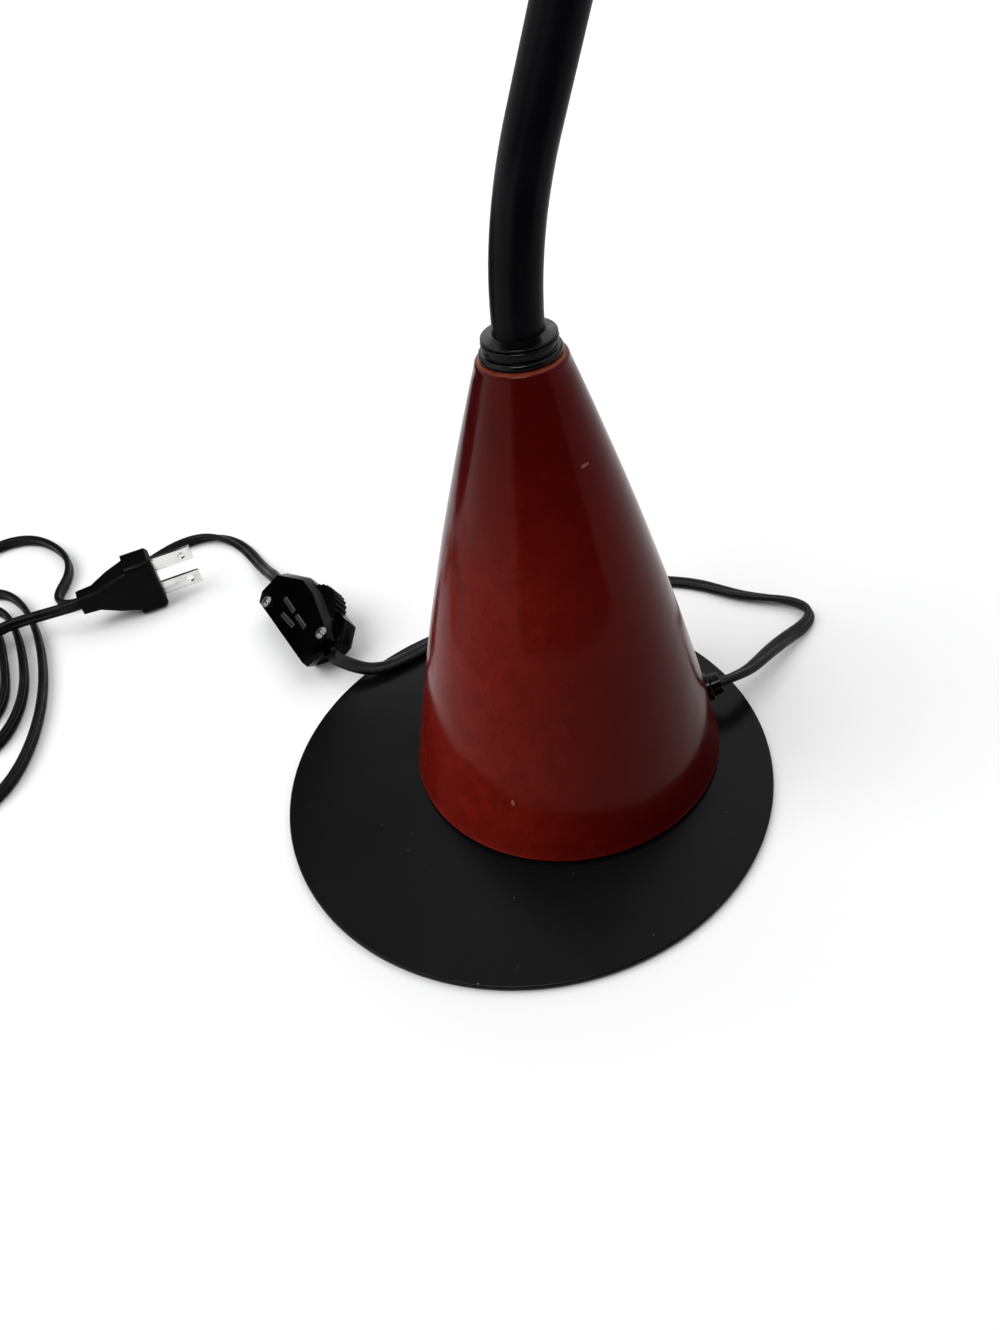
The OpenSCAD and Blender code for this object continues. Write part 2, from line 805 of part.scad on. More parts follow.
// Half outline of the bulb's glass, drawn in by an inset and begun at height low
module bulb_form(globe, inset, low) {
    r = bulb_r - inset;
    intersection() {
        union() {
            translate([0, globe])
                circle(r = r);
            polygon([[0, low], [bulb_cap_r - 0.6 - inset, low],
                [r * cos(-32), globe + r * sin(-32)], [0, globe]]);
        }
        translate([0, low])
            square([r + 1, globe + r + 1 - low]);
    }
}

// ---- in-line switch

module at_switch() {
    translate(switch_at)
        rotate([switch_roll, 0, switch_turn])
            translate([0, switch_w / 2, 0])
                children();
}

// Plan of the housing, inset by in: straight towards -Y, cut corners towards the wheel
module switch_plan(in = 0) {
    l = switch_l / 2 - in;
    w = switch_w / 2 - in;
    polygon([[-l + 4, -w], [l, -w], [l, 4.5], [l - 6.5, w], [-l + 13, w], [-l, 5], [-l, -w + 4]]);
}

// Plan of the underside, with the corner cut away under the lamp's cord
module switch_foot() {
    difference() {
        switch_plan(edge_cut);
        translate([switch_l / 2 - edge_cut, -switch_w / 2 + edge_cut])
            rotate([0, 0, 45])
                square(13, center = true);
    }
}

// The cover's corners with the inset of each edge at the flat top, from one corner to the next
function cover_plan() = let (l = switch_l / 2, w = switch_w / 2)
    [[-l + 4, -w, 0.3], [l, -w, 0.5], [l, 3, 0.7], [l - 11, w - 3.3, 2.6], [2, w - 0.3, 2.4],
     [-l + 14, w, 3], [-l, 5, 0.6], [-l, -w + 4, 0.4]];

// Corner k of a plan whose edges are moved in, each by its own third number
function moved_in(plan, k) =
    let (n = len(plan), a = plan[(k + n - 1) % n], b = plan[k], c = plan[(k + 1) % n],
         u = unit([b[0] - a[0], b[1] - a[1]]), v = unit([c[0] - b[0], c[1] - b[1]]),
         turn = u[0] * v[1] - u[1] * v[0])
    [b[0], b[1]] + (v * a[2] - u * b[2]) / turn;

module wheel_room(z0, z1) {
    translate([wheel_at[0], wheel_at[1], z0])
        cylinder(h = z1 - z0, r = wheel_r + wheel_gap);
}

module switch_base() {
    color("#0e0e10")
        at_switch()
            difference() {
                union() {
                    difference() {
                        hull() {
                            linear_extrude(height = 0.1)
                                switch_foot();
                            translate([0, 0, edge_cut])
                                linear_extrude(height = switch_split - edge_cut)
                                    switch_plan();
                        }
                        wheel_room(wheel_z0 - wheel_gap, switch_h);
                    }
                    translate([wheel_at[0], wheel_at[1], 1])
                        cylinder(h = wheel_z0 + wheel_t, r = wheel_pin_r);
                }
                for (p = screw_at)
                    translate([p[0], p[1], 2])
                        cylinder(h = switch_h, r = screw_r + press);
                for (s = contact_at)
                    translate([s - 2.6, contact_v, switch_split - 1])
                        cube([5.2, 2.4, 2]);
            }
}

// A low step over the whole plan, and above it the body with its slanted edges round the flat top
module switch_cover() {
    step_h = 1.4;
    top_h = 3.5;
    plan = cover_plan();
    color("#0e0e10")
        at_switch()
            difference() {
                union() {
                    translate([0, 0, switch_split + eps])
                        linear_extrude(height = step_h)
                            switch_plan();
                    hull() {
                        translate([0, 0, switch_split + eps])
                            linear_extrude(height = switch_h - top_h - switch_split)
                                polygon([for (p = plan) [p[0], p[1]]]);
                        translate([0, 0, switch_h - 0.1])
                            linear_extrude(height = 0.1)
                                polygon([for (k = [0 : len(plan) - 1]) moved_in(plan, k)]);
                    }
                }
                wheel_room(0, wheel_z0 + wheel_t + wheel_gap);
                translate([wheel_at[0], wheel_at[1], 0])
                    cylinder(h = wheel_z0 + wheel_t + 1 + slip, r = wheel_pin_r + press);
                for (p = screw_at)
                    translate([p[0], p[1], 0])
                        cylinder(h = switch_h + 1, r = screw_r + press);
            }
}

module switch_wheel() {
    flute_r = 1;
    color("#141416")
        at_switch()
            translate([wheel_at[0], wheel_at[1], wheel_z0])
                difference() {
                    cylinder(h = wheel_t, r = wheel_r);
                    translate([0, 0, -1])
                        cylinder(h = wheel_t + 2, r = wheel_pin_r + press);
                    for (k = [0 : wheel_flutes - 1])
                        rotate([0, 0, 360 / wheel_flutes * k])
                            translate([wheel_r + flute_r * 0.5, 0, -1])
                                cylinder(h = wheel_t + 2, r = flute_r, $fn = 16);
                }
}

module switch_contacts() {
    color("goldenrod")
        at_switch()
            for (s = contact_at)
                translate([s - 2.5, contact_v + 0.1, switch_split - 0.9])
                    cube([5, 2.2, 0.8]);
}

module switch_screws() {
    dome_r = 3.2;
    color("silver")
        at_switch()
            for (p = screw_at)
                translate([p[0], p[1], 0])
                    difference() {
                        union() {
                            translate([0, 0, 3])
                                cylinder(h = switch_h - 3 + 0.2, r = screw_r);
                            translate([0, 0, switch_h])
                                intersection() {
                                    cylinder(h = 1.6, r = screw_head_r);
                                    translate([0, 0, 1.6 - dome_r])
                                        sphere(r = dome_r);
                                }
                        }
                        translate([-screw_head_r - 1, -0.35, switch_h + 0.9])
                            cube([2 * screw_head_r + 2, 0.7, 2]);
                    }
}

// ---- plug, standing on its narrow side, blades towards its own +Y

module at_plug() {
    translate([plug_face[0], plug_face[1], plug_z])
        rotate([0, 0, plug_turn])
            children();
}

// A slab across the plug, y long, with rounded edges along its length
module plug_slab(t, w, y0, l, r = 2) {
    translate([0, y0, 0])
        rotate([90, 0, 0])
            linear_extrude(height = l)
                offset(r = r)
                    square([t - 2 * r, w - 2 * r], center = true);
}

module plug_body() {
    waist = plug_w - 5;
    nose = 1.2;
    relief_n = 2;
    color("#121214")
        at_plug() {
            difference() {
                union() {
                    hull() {
                        plug_slab(plug_t, plug_w, -nose, flange_l - nose, 3);
                        plug_slab(plug_t - 2 * nose, plug_w - 2 * nose, 0, 1, 2);
                    }
                    hull() {
                        plug_slab(plug_t - 1, waist, -flange_l + 0.5, 1);
                        plug_slab(tail_t + 3, waist - 4.5, -flange_l - 7, 1);
                        plug_slab(tail_t, tail_w, -plug_l + 8, 1);
                    }
                    hull() {
                        plug_slab(tail_t, tail_w, -plug_l + 9, 1);
                        plug_slab(tail_t - 0.5, tail_w - 1, -plug_l + 1, 1);
                    }
                }
                for (k = [0 : relief_n - 1], s = [-1, 1])
                    translate([s * (tail_t / 2 + 0.9), -plug_l + 2.5 + 3 * k, 0])
                        cube([2, 1.4, tail_w + 10], center = true);
                for (z = [-1, 1])
                    translate([-blade_t / 2 - press, -flange_l, z * blade_pitch / 2 - blade_w / 2 - press])
                        cube([blade_t + 2 * press, flange_l + 1, blade_w + 2 * press]);
            }
        }
}

module plug_blades() {
    hole_r = 1.6;
    color("goldenrod")
        at_plug()
            for (z = [-1, 1])
                difference() {
                    translate([-blade_t / 2, -flange_l + 0.2, z * blade_pitch / 2 - blade_w / 2])
                        cube([blade_t, flange_l - 0.2 + blade_l, blade_w]);
                    translate([-3, blade_l - 4.5, z * blade_pitch / 2])
                        rotate([0, 90, 0])
                            cylinder(h = 6, r = hole_r);
                }
}

// ---- cord

module cord_lamp() {
    color("#121214")
        flat_cord(lamp_route, 8, first = outlet_dir,
            last = switch_head);
}

module cord_arc() {
    color("#121214")
        flat_cord(arc_route, 8, first = switch_head,
            last = unit(cut(hank_route[hank_steps - 1]) - cut(hank_route[hank_steps])));
}

module cord_hank() {
    color("#121214")
        flat_cord(hank_route, 6);
}

module cord_tail() {
    color("#121214")
        flat_cord(tail_route, 8, first = [sin(plug_turn), -cos(plug_turn), 0],
            last = unit(cut(hank_route[1]) - cut(hank_route[0])));
}

felt_pad();
base_plate();
cone_gasket();
ceramic_cone();
cord_bush();
stem_pipe();
base_washer();
base_nut();
collar_ring();
collar_cap();
for (i = [0 : NECK_N]) neck_link(i);
for (i = [0 : NECK_N - 1]) neck_sleeve(i);
head_collar();
socket_cap();
socket_nut();
lampholder();
screw_shell();
centre_contact();
shade();
shade_ring();
bulb_cap();
bulb_glass();
switch_base();
switch_cover();
switch_wheel();
switch_contacts();
switch_screws();
plug_body();
plug_blades();
cord_lamp();
cord_arc();
cord_hank();
cord_tail();
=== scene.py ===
"""Looks of a gooseneck desk lamp: steel foot, glazed cone, sleeved neck, spun shade, flat cord."""
import json
import math

import bmesh
import bpy
from mathutils import Matrix, Vector

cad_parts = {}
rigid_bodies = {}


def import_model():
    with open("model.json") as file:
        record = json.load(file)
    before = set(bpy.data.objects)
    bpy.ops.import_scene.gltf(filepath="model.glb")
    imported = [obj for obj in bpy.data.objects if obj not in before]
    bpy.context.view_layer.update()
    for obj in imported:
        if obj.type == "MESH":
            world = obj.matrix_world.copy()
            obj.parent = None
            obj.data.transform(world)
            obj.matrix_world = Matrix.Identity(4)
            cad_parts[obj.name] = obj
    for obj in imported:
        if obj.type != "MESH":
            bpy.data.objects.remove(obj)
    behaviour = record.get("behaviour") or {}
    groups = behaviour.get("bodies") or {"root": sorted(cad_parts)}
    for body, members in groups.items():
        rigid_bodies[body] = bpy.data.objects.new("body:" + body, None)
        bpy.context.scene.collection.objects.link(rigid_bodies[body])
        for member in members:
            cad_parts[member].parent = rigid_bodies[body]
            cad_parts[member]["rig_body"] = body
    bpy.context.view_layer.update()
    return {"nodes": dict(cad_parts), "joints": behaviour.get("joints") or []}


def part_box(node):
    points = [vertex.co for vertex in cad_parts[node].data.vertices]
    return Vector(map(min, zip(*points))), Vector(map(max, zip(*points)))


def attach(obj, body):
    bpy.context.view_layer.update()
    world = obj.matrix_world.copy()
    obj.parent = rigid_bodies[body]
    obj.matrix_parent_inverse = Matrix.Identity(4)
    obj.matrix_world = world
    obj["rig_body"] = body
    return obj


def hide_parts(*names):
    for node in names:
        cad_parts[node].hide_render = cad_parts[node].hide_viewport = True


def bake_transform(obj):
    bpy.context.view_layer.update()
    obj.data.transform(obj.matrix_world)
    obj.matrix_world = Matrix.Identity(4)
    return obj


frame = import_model()
MM = 0.001


# ---------------------------------------------------------------- camera

# The photograph is 1000 x 1330 pixels and was taken from the front right, looking down
PHOTO_W, PHOTO_H = 1000, 1330
FOCAL_PX = 1000
SENSOR = 36
EYE = Vector((0.1976, -0.1141, 0.2629))
EYE_TURN = math.radians(60)
EYE_PAN, EYE_TILT, EYE_ROLL = -0.012, 0.746, -0.171


def eye_axes():
    """The camera's right, up and forward directions."""
    pan, tilt, roll = EYE_PAN, EYE_TILT, EYE_ROLL
    ahead = Vector((math.sin(pan) * math.cos(tilt), math.cos(pan) * math.cos(tilt),
                    -math.sin(tilt)))
    level = Vector((math.cos(pan), -math.sin(pan), 0))
    rise = level.cross(ahead)
    right = level * math.cos(roll) + rise * math.sin(roll)
    up = rise * math.cos(roll) - level * math.sin(roll)
    turn = Matrix.Rotation(EYE_TURN, 3, "Z")
    return turn @ right, turn @ up, turn @ ahead


def sight(px, py):
    """The direction in which the camera sees a pixel of the photograph."""
    right, up, ahead = eye_axes()
    return ahead * FOCAL_PX + right * (px - PHOTO_W / 2) - up * (py - PHOTO_H / 2)


def make_camera():
    right, up, ahead = eye_axes()
    data = bpy.data.cameras.new("camera")
    data.sensor_width = SENSOR
    data.lens = SENSOR * FOCAL_PX / PHOTO_H
    data.clip_start = 0.01
    camera = bpy.data.objects.new("camera", data)
    bpy.context.scene.collection.objects.link(camera)
    axes = Matrix((right, up, -ahead)).transposed().to_4x4()
    camera.matrix_world = Matrix.Translation(EYE) @ axes
    bpy.context.scene.camera = camera


make_camera()


# ---------------------------------------------------------------- sizes of cone, foot and neck

cone_low, cone_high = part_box("ceramic_cone")
CONE_FOOT, CONE_TOP = cone_low.z, cone_high.z
AXIS_Y = (cone_low.y + cone_high.y) / 2
PLATE_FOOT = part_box("base_plate")[0].z
PLATE_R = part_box("base_plate")[1].x
PLATE_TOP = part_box("cone_gasket")[0].z
CONE_R, CONE_TOP_R, CONE_BULGE, CONE_WALL = 52.3 * MM, 11.75 * MM, 2.5 * MM, 6 * MM


def cone_radius(z):
    """The cone's radius at a height, with its slight bulge."""
    share = (z - CONE_FOOT) / (CONE_TOP - CONE_FOOT)
    return CONE_R + (CONE_TOP_R - CONE_R) * share + 4 * CONE_BULGE * share * (1 - share)


def on_cone(px, py):
    """The point of the cone's side that a pixel of the photograph shows."""
    ray = sight(px, py).normalized()
    step, most_steps = 0.0002, 4000
    point = EYE.copy()
    for _ in range(most_steps):
        point = point + ray * step
        if math.hypot(point.x, point.y - AXIS_Y) < cone_radius(point.z) and point.z < CONE_TOP:
            break
    return point


CHIP_AT = on_cone(585, 465)
NICK_AT = on_cone(513, 803)
# Centres of the painted light on the cone's lower left and the painted shade on its lower right
LIT_PATCH_AT = on_cone(468, 760)
SHADE_PATCH_AT = on_cone(668, 760)

# The neck as eight arcs, each centred on its joint; the head's axis runs on from the last
NECK_TURN = [-25.3, 0, 8, 22, 40, 46, 38, 16]
NECK_CELL = 48 * MM
NECK_FOOT_Z = CONE_TOP + 4 * MM
NECK_R = 6.65 * MM


def neck_arc(start, lean, turn, length, along):
    """Point and lean at a distance along an arc that starts at (y, z) start, leaning forward."""
    share = along / length
    if abs(turn) < 1e-6:
        return (start[0] - math.sin(lean) * along, start[1] + math.cos(lean) * along), lean
    radius = length / turn
    end = lean + turn * share
    return (start[0] - radius * (math.cos(lean) - math.cos(end)),
            start[1] + radius * (math.sin(end) - math.sin(lean))), end


def neck_cells():
    """(start, lean, turn) of each bending stretch, and the place and lean of the neck's end."""
    cells, at, lean = [], (AXIS_Y, NECK_FOOT_Z), 0.0
    for degrees in NECK_TURN:
        turn = math.radians(degrees)
        cells.append((at, lean, turn))
        at, lean = neck_arc(at, lean, turn, NECK_CELL, NECK_CELL)
    return cells, at, lean


CELLS, NECK_END, NECK_LEAN = neck_cells()
HEAD = Matrix.Translation((0, NECK_END[0], NECK_END[1])) @ Matrix.Rotation(NECK_LEAN, 4, "X")


# ---------------------------------------------------------------- materials

class Paint:
    """A Principled material that is built up from short calls."""

    def __init__(self, name, color, rough, metal=0.0, spec=0.5):
        self.mat = bpy.data.materials.new(name)
        self.mat.use_nodes = True
        self.tree = self.mat.node_tree
        self.shader = self.tree.nodes["Principled BSDF"]
        self.set("Base Color", (*color, 1))
        self.set("Roughness", rough)
        self.set("Metallic", metal)
        self.set("Specular IOR Level", spec)
        self.place = self.node("ShaderNodeTexCoord").outputs["Object"]
        self.normal = None

    def node(self, kind, **settings):
        made = self.tree.nodes.new(kind)
        for name, value in settings.items():
            setattr(made, name, value)
        return made

    def link(self, source, target):
        self.tree.links.new(source, target)

    def put(self, target, value):
        """Links a socket to a target, or writes a plain value on it."""
        if isinstance(value, bpy.types.NodeSocket):
            self.link(value, target)
        else:
            target.default_value = value

    def set(self, name, value):
        self.put(self.shader.inputs[name], value)

    def stretch(self, x, y, z):
        made = self.node("ShaderNodeMapping")
        made.inputs["Scale"].default_value = (x, y, z)
        self.link(self.place, made.inputs["Vector"])
        return made.outputs["Vector"]

    def noise(self, scale, detail=3.0, rough=0.55, at=None):
        made = self.node("ShaderNodeTexNoise")
        made.inputs["Scale"].default_value = scale
        made.inputs["Detail"].default_value = detail
        made.inputs["Roughness"].default_value = rough
        self.link(at or self.place, made.inputs["Vector"])
        return made.outputs["Fac"]

    def cells(self, scale):
        made = self.node("ShaderNodeTexVoronoi")
        made.inputs["Scale"].default_value = scale
        self.link(self.place, made.inputs["Vector"])
        return made.outputs["Distance"]

    def span(self, value, low, high, to_low=0.0, to_high=1.0):
        """Maps value from low..high to to_low..to_high, eased and held at the ends."""
        made = self.node("ShaderNodeMapRange", interpolation_type="SMOOTHSTEP")
        limits = {"From Min": low, "From Max": high, "To Min": to_low, "To Max": to_high}
        for name, number in limits.items():
            made.inputs[name].default_value = number
        self.put(made.inputs["Value"], value)
        return made.outputs["Result"]

    def math(self, operation, a, b):
        made = self.node("ShaderNodeMath", operation=operation)
        self.put(made.inputs[0], a)
        self.put(made.inputs[1], b)
        return made.outputs["Value"]

    def part(self, axis):
        made = self.node("ShaderNodeSeparateXYZ")
        self.link(self.place, made.inputs["Vector"])
        return made.outputs[axis]

    def far(self, point, stretch=(1, 1, 1)):
        """Distance from a point, along axes that may be stretched."""
        off = self.node("ShaderNodeVectorMath", operation="SUBTRACT")
        self.link(self.place, off.inputs[0])
        off.inputs[1].default_value = point
        scaled = self.node("ShaderNodeVectorMath", operation="MULTIPLY")
        self.link(off.outputs["Vector"], scaled.inputs[0])
        scaled.inputs[1].default_value = stretch
        length = self.node("ShaderNodeVectorMath", operation="LENGTH")
        self.link(scaled.outputs["Vector"], length.inputs[0])
        return length.outputs["Value"]

    def mix(self, share, a, b):
        made = self.node("ShaderNodeMix", data_type="RGBA", blend_type="MIX")
        self.put(made.inputs["Factor"], share)
        for socket, value in ((made.inputs["A"], a), (made.inputs["B"], b)):
            self.put(socket, (*value, 1) if isinstance(value, tuple) else value)
        return made.outputs["Result"]

    def cover(self, color, share, amount, tint):
        """Lays a tint over a colour, as strongly as share times amount."""
        return self.mix(self.math("MULTIPLY", share, amount), color, tint)

    def wander(self, low, high, scale, detail, rough=0.55):
        """Lets the roughness go from low to high in soft patches."""
        self.set("Roughness", self.span(self.noise(scale, detail, rough), 0.3, 0.7, low, high))

    def bump(self, height, strength, depth):
        """Adds a bump of that depth, in metres, over those there are."""
        made = self.node("ShaderNodeBump")
        made.inputs["Strength"].default_value = strength
        made.inputs["Distance"].default_value = depth
        self.link(height, made.inputs["Height"])
        if self.normal:
            self.link(self.normal, made.inputs["Normal"])
        self.normal = made.outputs["Normal"]
        self.link(self.normal, self.shader.inputs["Normal"])


def specks(paint, scale, size, patch=18.0, share=0.5):
    """Sparse dots of dust: small cells, kept only where a broad noise is high."""
    dot = paint.span(paint.cells(scale), size * 0.6, size, 1.0, 0.0)
    return paint.math("MULTIPLY", dot, paint.span(paint.noise(patch, 2), share, share + 0.12))


def glaze():
    """Oxblood glaze: darker at the top, painted light as a lighter warm patch on the lower left,
    painted shade on the lower right, orange where the rim shows.
    """
    paint = Paint("oxblood glaze", (0.06, 0.004, 0.003), 0.14, spec=0.085)
    height = paint.part("Z")
    deep, red, warm = (0.052, 0.0016, 0.0016), (0.1, 0.0018, 0.0018), (0.19, 0.0095, 0.0045)
    color = paint.mix(paint.span(height, CONE_TOP, CONE_FOOT + 0.02), deep, red)

    # Painted light: the lower left is lighter and warmer, as where the lamps fall on it
    painted_light = paint.span(paint.far(LIT_PATCH_AT, (1, 1, 0.75)), 0.085, 0.02)
    clouds = paint.span(paint.noise(26, 4), 0.3, 0.75, 0.6, 1.0)
    color = paint.cover(color, painted_light, clouds, warm)
    # Painted shade: the lower right, away from the lamps, is darkened
    painted_shade = paint.span(paint.far(SHADE_PATCH_AT, (1, 1, 0.6)), 0.075, 0.015)
    color = paint.cover(color, painted_shade, 0.72, (0.016, 0.0006, 0.0006))

    mottle = paint.span(paint.noise(160, 6, 0.65), 0.36, 0.66)
    color = paint.cover(color, mottle, 0.28, (0.03, 0.0015, 0.002))
    fine = paint.span(paint.noise(1500, 2, 0.6), 0.5, 0.72)
    color = paint.cover(color, fine, 0.35, (0.016, 0.001, 0.0012))

    rim = paint.span(height, CONE_TOP - 0.0007, CONE_TOP - 0.0001)
    worn = paint.span(paint.noise(420, 3), 0.3, 0.6, 0.5, 0.9)
    color = paint.cover(color, rim, worn, (0.22, 0.045, 0.02))

    away = paint.far(CHIP_AT, (1, 1, 3))
    ragged = paint.math("MULTIPLY", paint.noise(900, 2), 0.0012)
    chip = paint.span(paint.math("ADD", away, ragged), 0.0023, 0.0015)
    color = paint.cover(color, chip, 0.42, (0.33, 0.14, 0.12))
    nick = paint.span(paint.far(NICK_AT, (1, 1, 0.45)), 0.0007, 0.0004)
    color = paint.cover(color, nick, 0.35, (0.42, 0.2, 0.12))

    paint.set("Base Color", color)
    paint.set("Specular Tint", (1, 0.42, 0.36, 1))
    paint.wander(0.11, 0.2, 60, 4)
    paint.bump(paint.noise(34, 2, 0.5), 0.35, 0.0011)
    paint.bump(paint.noise(420, 2, 0.5), 0.25, 0.00009)
    paint.bump(chip, -0.5, 0.0003)
    return paint.mat


def black_paint(name, rough, spec=0.06):
    """Satin black enamel with a fine orange peel, faint rubs and a little dust."""
    base = 0.0022
    paint = Paint(name, (base,) * 3, rough, spec=spec)
    rubs = paint.span(paint.noise(14, 5, 0.6), 0.35, 0.7)
    color = paint.mix(rubs, (base, base, base * 1.08), (base * 1.45, base * 1.4, base * 1.45))
    color = paint.cover(color, specks(paint, 210, 0.055), 0.75, (0.12, 0.115, 0.1))
    color = paint.cover(color, specks(paint, 90, 0.03, 11, 0.48), 0.8, (0.2, 0.19, 0.16))
    paint.set("Base Color", color)
    paint.wander(rough - 0.05, rough + 0.09, 22, 4, 0.6)
    paint.bump(paint.noise(1400, 2, 0.5), 0.3, 0.00003)
    return paint.mat


def black_plastic(name, base, rough, spec, depth=0.00002):
    """Moulded black plastic with a faint texture and handling marks."""
    paint = Paint(name, (base,) * 3, rough, spec=spec)
    marks = paint.span(paint.noise(75, 5, 0.65), 0.4, 0.72)
    clean, handled = (base, base, base * 1.05), (base * 1.7, base * 1.65, base * 1.6)
    paint.set("Base Color", paint.mix(marks, clean, handled))
    paint.wander(rough - 0.06, rough + 0.1, 120, 4, 0.6)
    paint.bump(paint.noise(2600, 2, 0.5), 0.3, depth)
    return paint.mat


def sleeve_vinyl():
    """The neck's smooth sleeve: soft vinyl with faint wrinkles across it and a grey bloom."""
    paint = Paint("sleeve vinyl", (0.006, 0.006, 0.0075), 0.33, spec=0.04)
    bloom = paint.span(paint.noise(30, 5, 0.6), 0.38, 0.72)
    paint.set("Base Color", paint.mix(bloom, (0.0014, 0.0014, 0.0022), (0.003, 0.003, 0.0042)))
    paint.wander(0.28, 0.42, 45, 3)
    paint.bump(paint.noise(24, 3, 0.5, at=paint.stretch(1, 1, 3.2)), 0.3, 0.0006)
    paint.bump(paint.noise(1800, 2), 0.2, 0.00002)
    return paint.mat


def cord_vinyl():
    """Semi-gloss cord jacket with grey scuffs."""
    paint = Paint("cord vinyl", (0.008, 0.008, 0.009), 0.34, spec=0.1)
    scuff = paint.span(paint.noise(130, 6, 0.7), 0.46, 0.74)
    paint.set("Base Color", paint.mix(scuff, (0.0022, 0.0022, 0.0026), (0.012, 0.012, 0.0115)))
    paint.wander(0.26, 0.48, 190, 4, 0.6)
    paint.bump(paint.noise(520, 3, 0.6), 0.35, 0.00008)
    return paint.mat


def metal(name, color, rough, grain=900, along=(1, 1, 1), dirt=0.25):
    """Plain metal with drawn or turned grain and a little tarnish."""
    paint = Paint(name, color, rough, metal=1.0)
    tarnish = paint.span(paint.noise(160, 5, 0.65), 0.4, 0.75)
    dull = tuple(c * (1 - dirt) for c in color)
    paint.set("Base Color", paint.mix(tarnish, color, dull))
    paint.wander(rough * 0.75, rough * 1.35, 90, 4)
    paint.bump(paint.noise(grain, 3, 0.6, at=paint.stretch(*along)), 0.3, 0.00002)
    return paint.mat


def wool_felt():
    """Dark felt with loose fibres."""
    paint = Paint("felt", (0.02, 0.02, 0.021), 0.95, spec=0.15)
    fibre = paint.noise(1300, 5, 0.75)
    tufts = paint.span(fibre, 0.35, 0.7)
    paint.set("Base Color", paint.mix(tufts, (0.012, 0.012, 0.013), (0.045, 0.044, 0.043)))
    paint.set("Sheen Weight", 0.35)
    paint.bump(fibre, 0.8, 0.0004)
    return paint.mat


def foam_rubber():
    """Dark open-celled foam, with painted shade in its pores."""
    paint = Paint("foam", (0.02, 0.015, 0.012), 0.9, spec=0.2)
    cell = paint.cells(1400)
    # Painted shade: each pore is dark in its middle, the walls between are lighter
    walls_over_pore_shade = paint.span(cell, 0.1, 0.6)
    paint.set("Base Color", paint.mix(walls_over_pore_shade, (0.008, 0.006, 0.006), (0.05, 0.035, 0.025)))
    paint.bump(cell, 0.6, 0.0002)
    return paint.mat


def white_enamel():
    """Baked white inside of the shade, a little yellowed towards the lampholder."""
    paint = Paint("shade enamel", (0.78, 0.77, 0.73), 0.34, spec=0.4)
    warm = paint.span(paint.far(HEAD @ Vector((0, 0, 30 * MM))), 0.07, 0.02)
    color = paint.mix(warm, (0.8, 0.795, 0.77), (0.72, 0.68, 0.58))
    color = paint.cover(color, specks(paint, 260, 0.06), 0.5, (0.3, 0.27, 0.22))
    paint.set("Base Color", color)
    paint.wander(0.28, 0.42, 40, 4)
    paint.bump(paint.noise(900, 2), 0.25, 0.00003)
    return paint.mat


def opal_glass():
    """Frosted white bulb glass."""
    paint = Paint("opal glass", (0.9, 0.89, 0.86), 0.28, spec=0.5)
    milk = paint.span(paint.noise(70, 3), 0.3, 0.7)
    paint.set("Base Color", paint.mix(milk, (0.9, 0.895, 0.87), (0.86, 0.85, 0.81)))
    paint.set("Subsurface Weight", 0.25)
    paint.set("Subsurface Scale", 0.004)
    paint.set("Coat Weight", 0.4)
    paint.set("Coat Roughness", 0.08)
    paint.bump(paint.noise(2400, 2), 0.15, 0.00001)
    return paint.mat


BLACK_PAINT = black_paint("satin black enamel", 0.24)
SHADE_PAINT = black_paint("shade enamel black", 0.27, spec=0.12)
COLLAR_PLASTIC = black_plastic("collar plastic", base=0.0012, rough=0.17, spec=0.09, depth=0.000006)
BODY_PLASTIC = black_plastic("moulded plastic", base=0.0013, rough=0.34, spec=0.045)
GLOSS_PLASTIC = black_plastic("gloss plastic", base=0.0004, rough=0.16, spec=0.045, depth=0.000004)
BAR_PLASTIC = black_plastic("bar plastic", base=0.016, rough=0.3, spec=0.2)
WHEEL_PLASTIC = black_plastic("wheel plastic", base=0.001, rough=0.28, spec=0.04)
SLEEVE = sleeve_vinyl()
CORD = cord_vinyl()
GLAZE = glaze()
ZINC = metal("zinc", (0.55, 0.56, 0.57), 0.36)
CORE_STEEL = metal("core steel", (0.3, 0.31, 0.33), 0.32)
BRASS = metal("brass", (0.72, 0.52, 0.24), 0.28)
NICKEL = metal("nickel", (0.78, 0.775, 0.75), 0.2, grain=1500, along=(1, 1, 5))
SCREW_METAL = metal("screw metal", (0.16, 0.155, 0.145), 0.24, grain=1500, dirt=0.4)
BULB_METAL = metal("bulb cap metal", (0.72, 0.72, 0.73), 0.3)
FELT = wool_felt()
FOAM = foam_rubber()
ENAMEL = white_enamel()
OPAL = opal_glass()


# ---------------------------------------------------------------- making pieces

def mesh_piece(name, points, faces, material):
    """A smooth shaded mesh object."""
    mesh = bpy.data.meshes.new(name)
    mesh.from_pydata([tuple(p) for p in points], [], faces)
    mesh.validate()
    piece = bpy.data.objects.new(name, mesh)
    bpy.context.scene.collection.objects.link(piece)
    mesh.materials.append(material)
    for face in mesh.polygons:
        face.use_smooth = True
    return piece


def sharpen(piece, degrees):
    """Marks edges sharper than that as sharp, so that smooth shading stops at them."""
    work = bmesh.new()
    work.from_mesh(piece.data)
    bmesh.ops.recalc_face_normals(work, faces=work.faces)
    for edge in work.edges:
        if len(edge.link_faces) == 2 and edge.calc_face_angle(0) > math.radians(degrees):
            edge.smooth = False
    work.to_mesh(piece.data)
    work.free()
    return piece


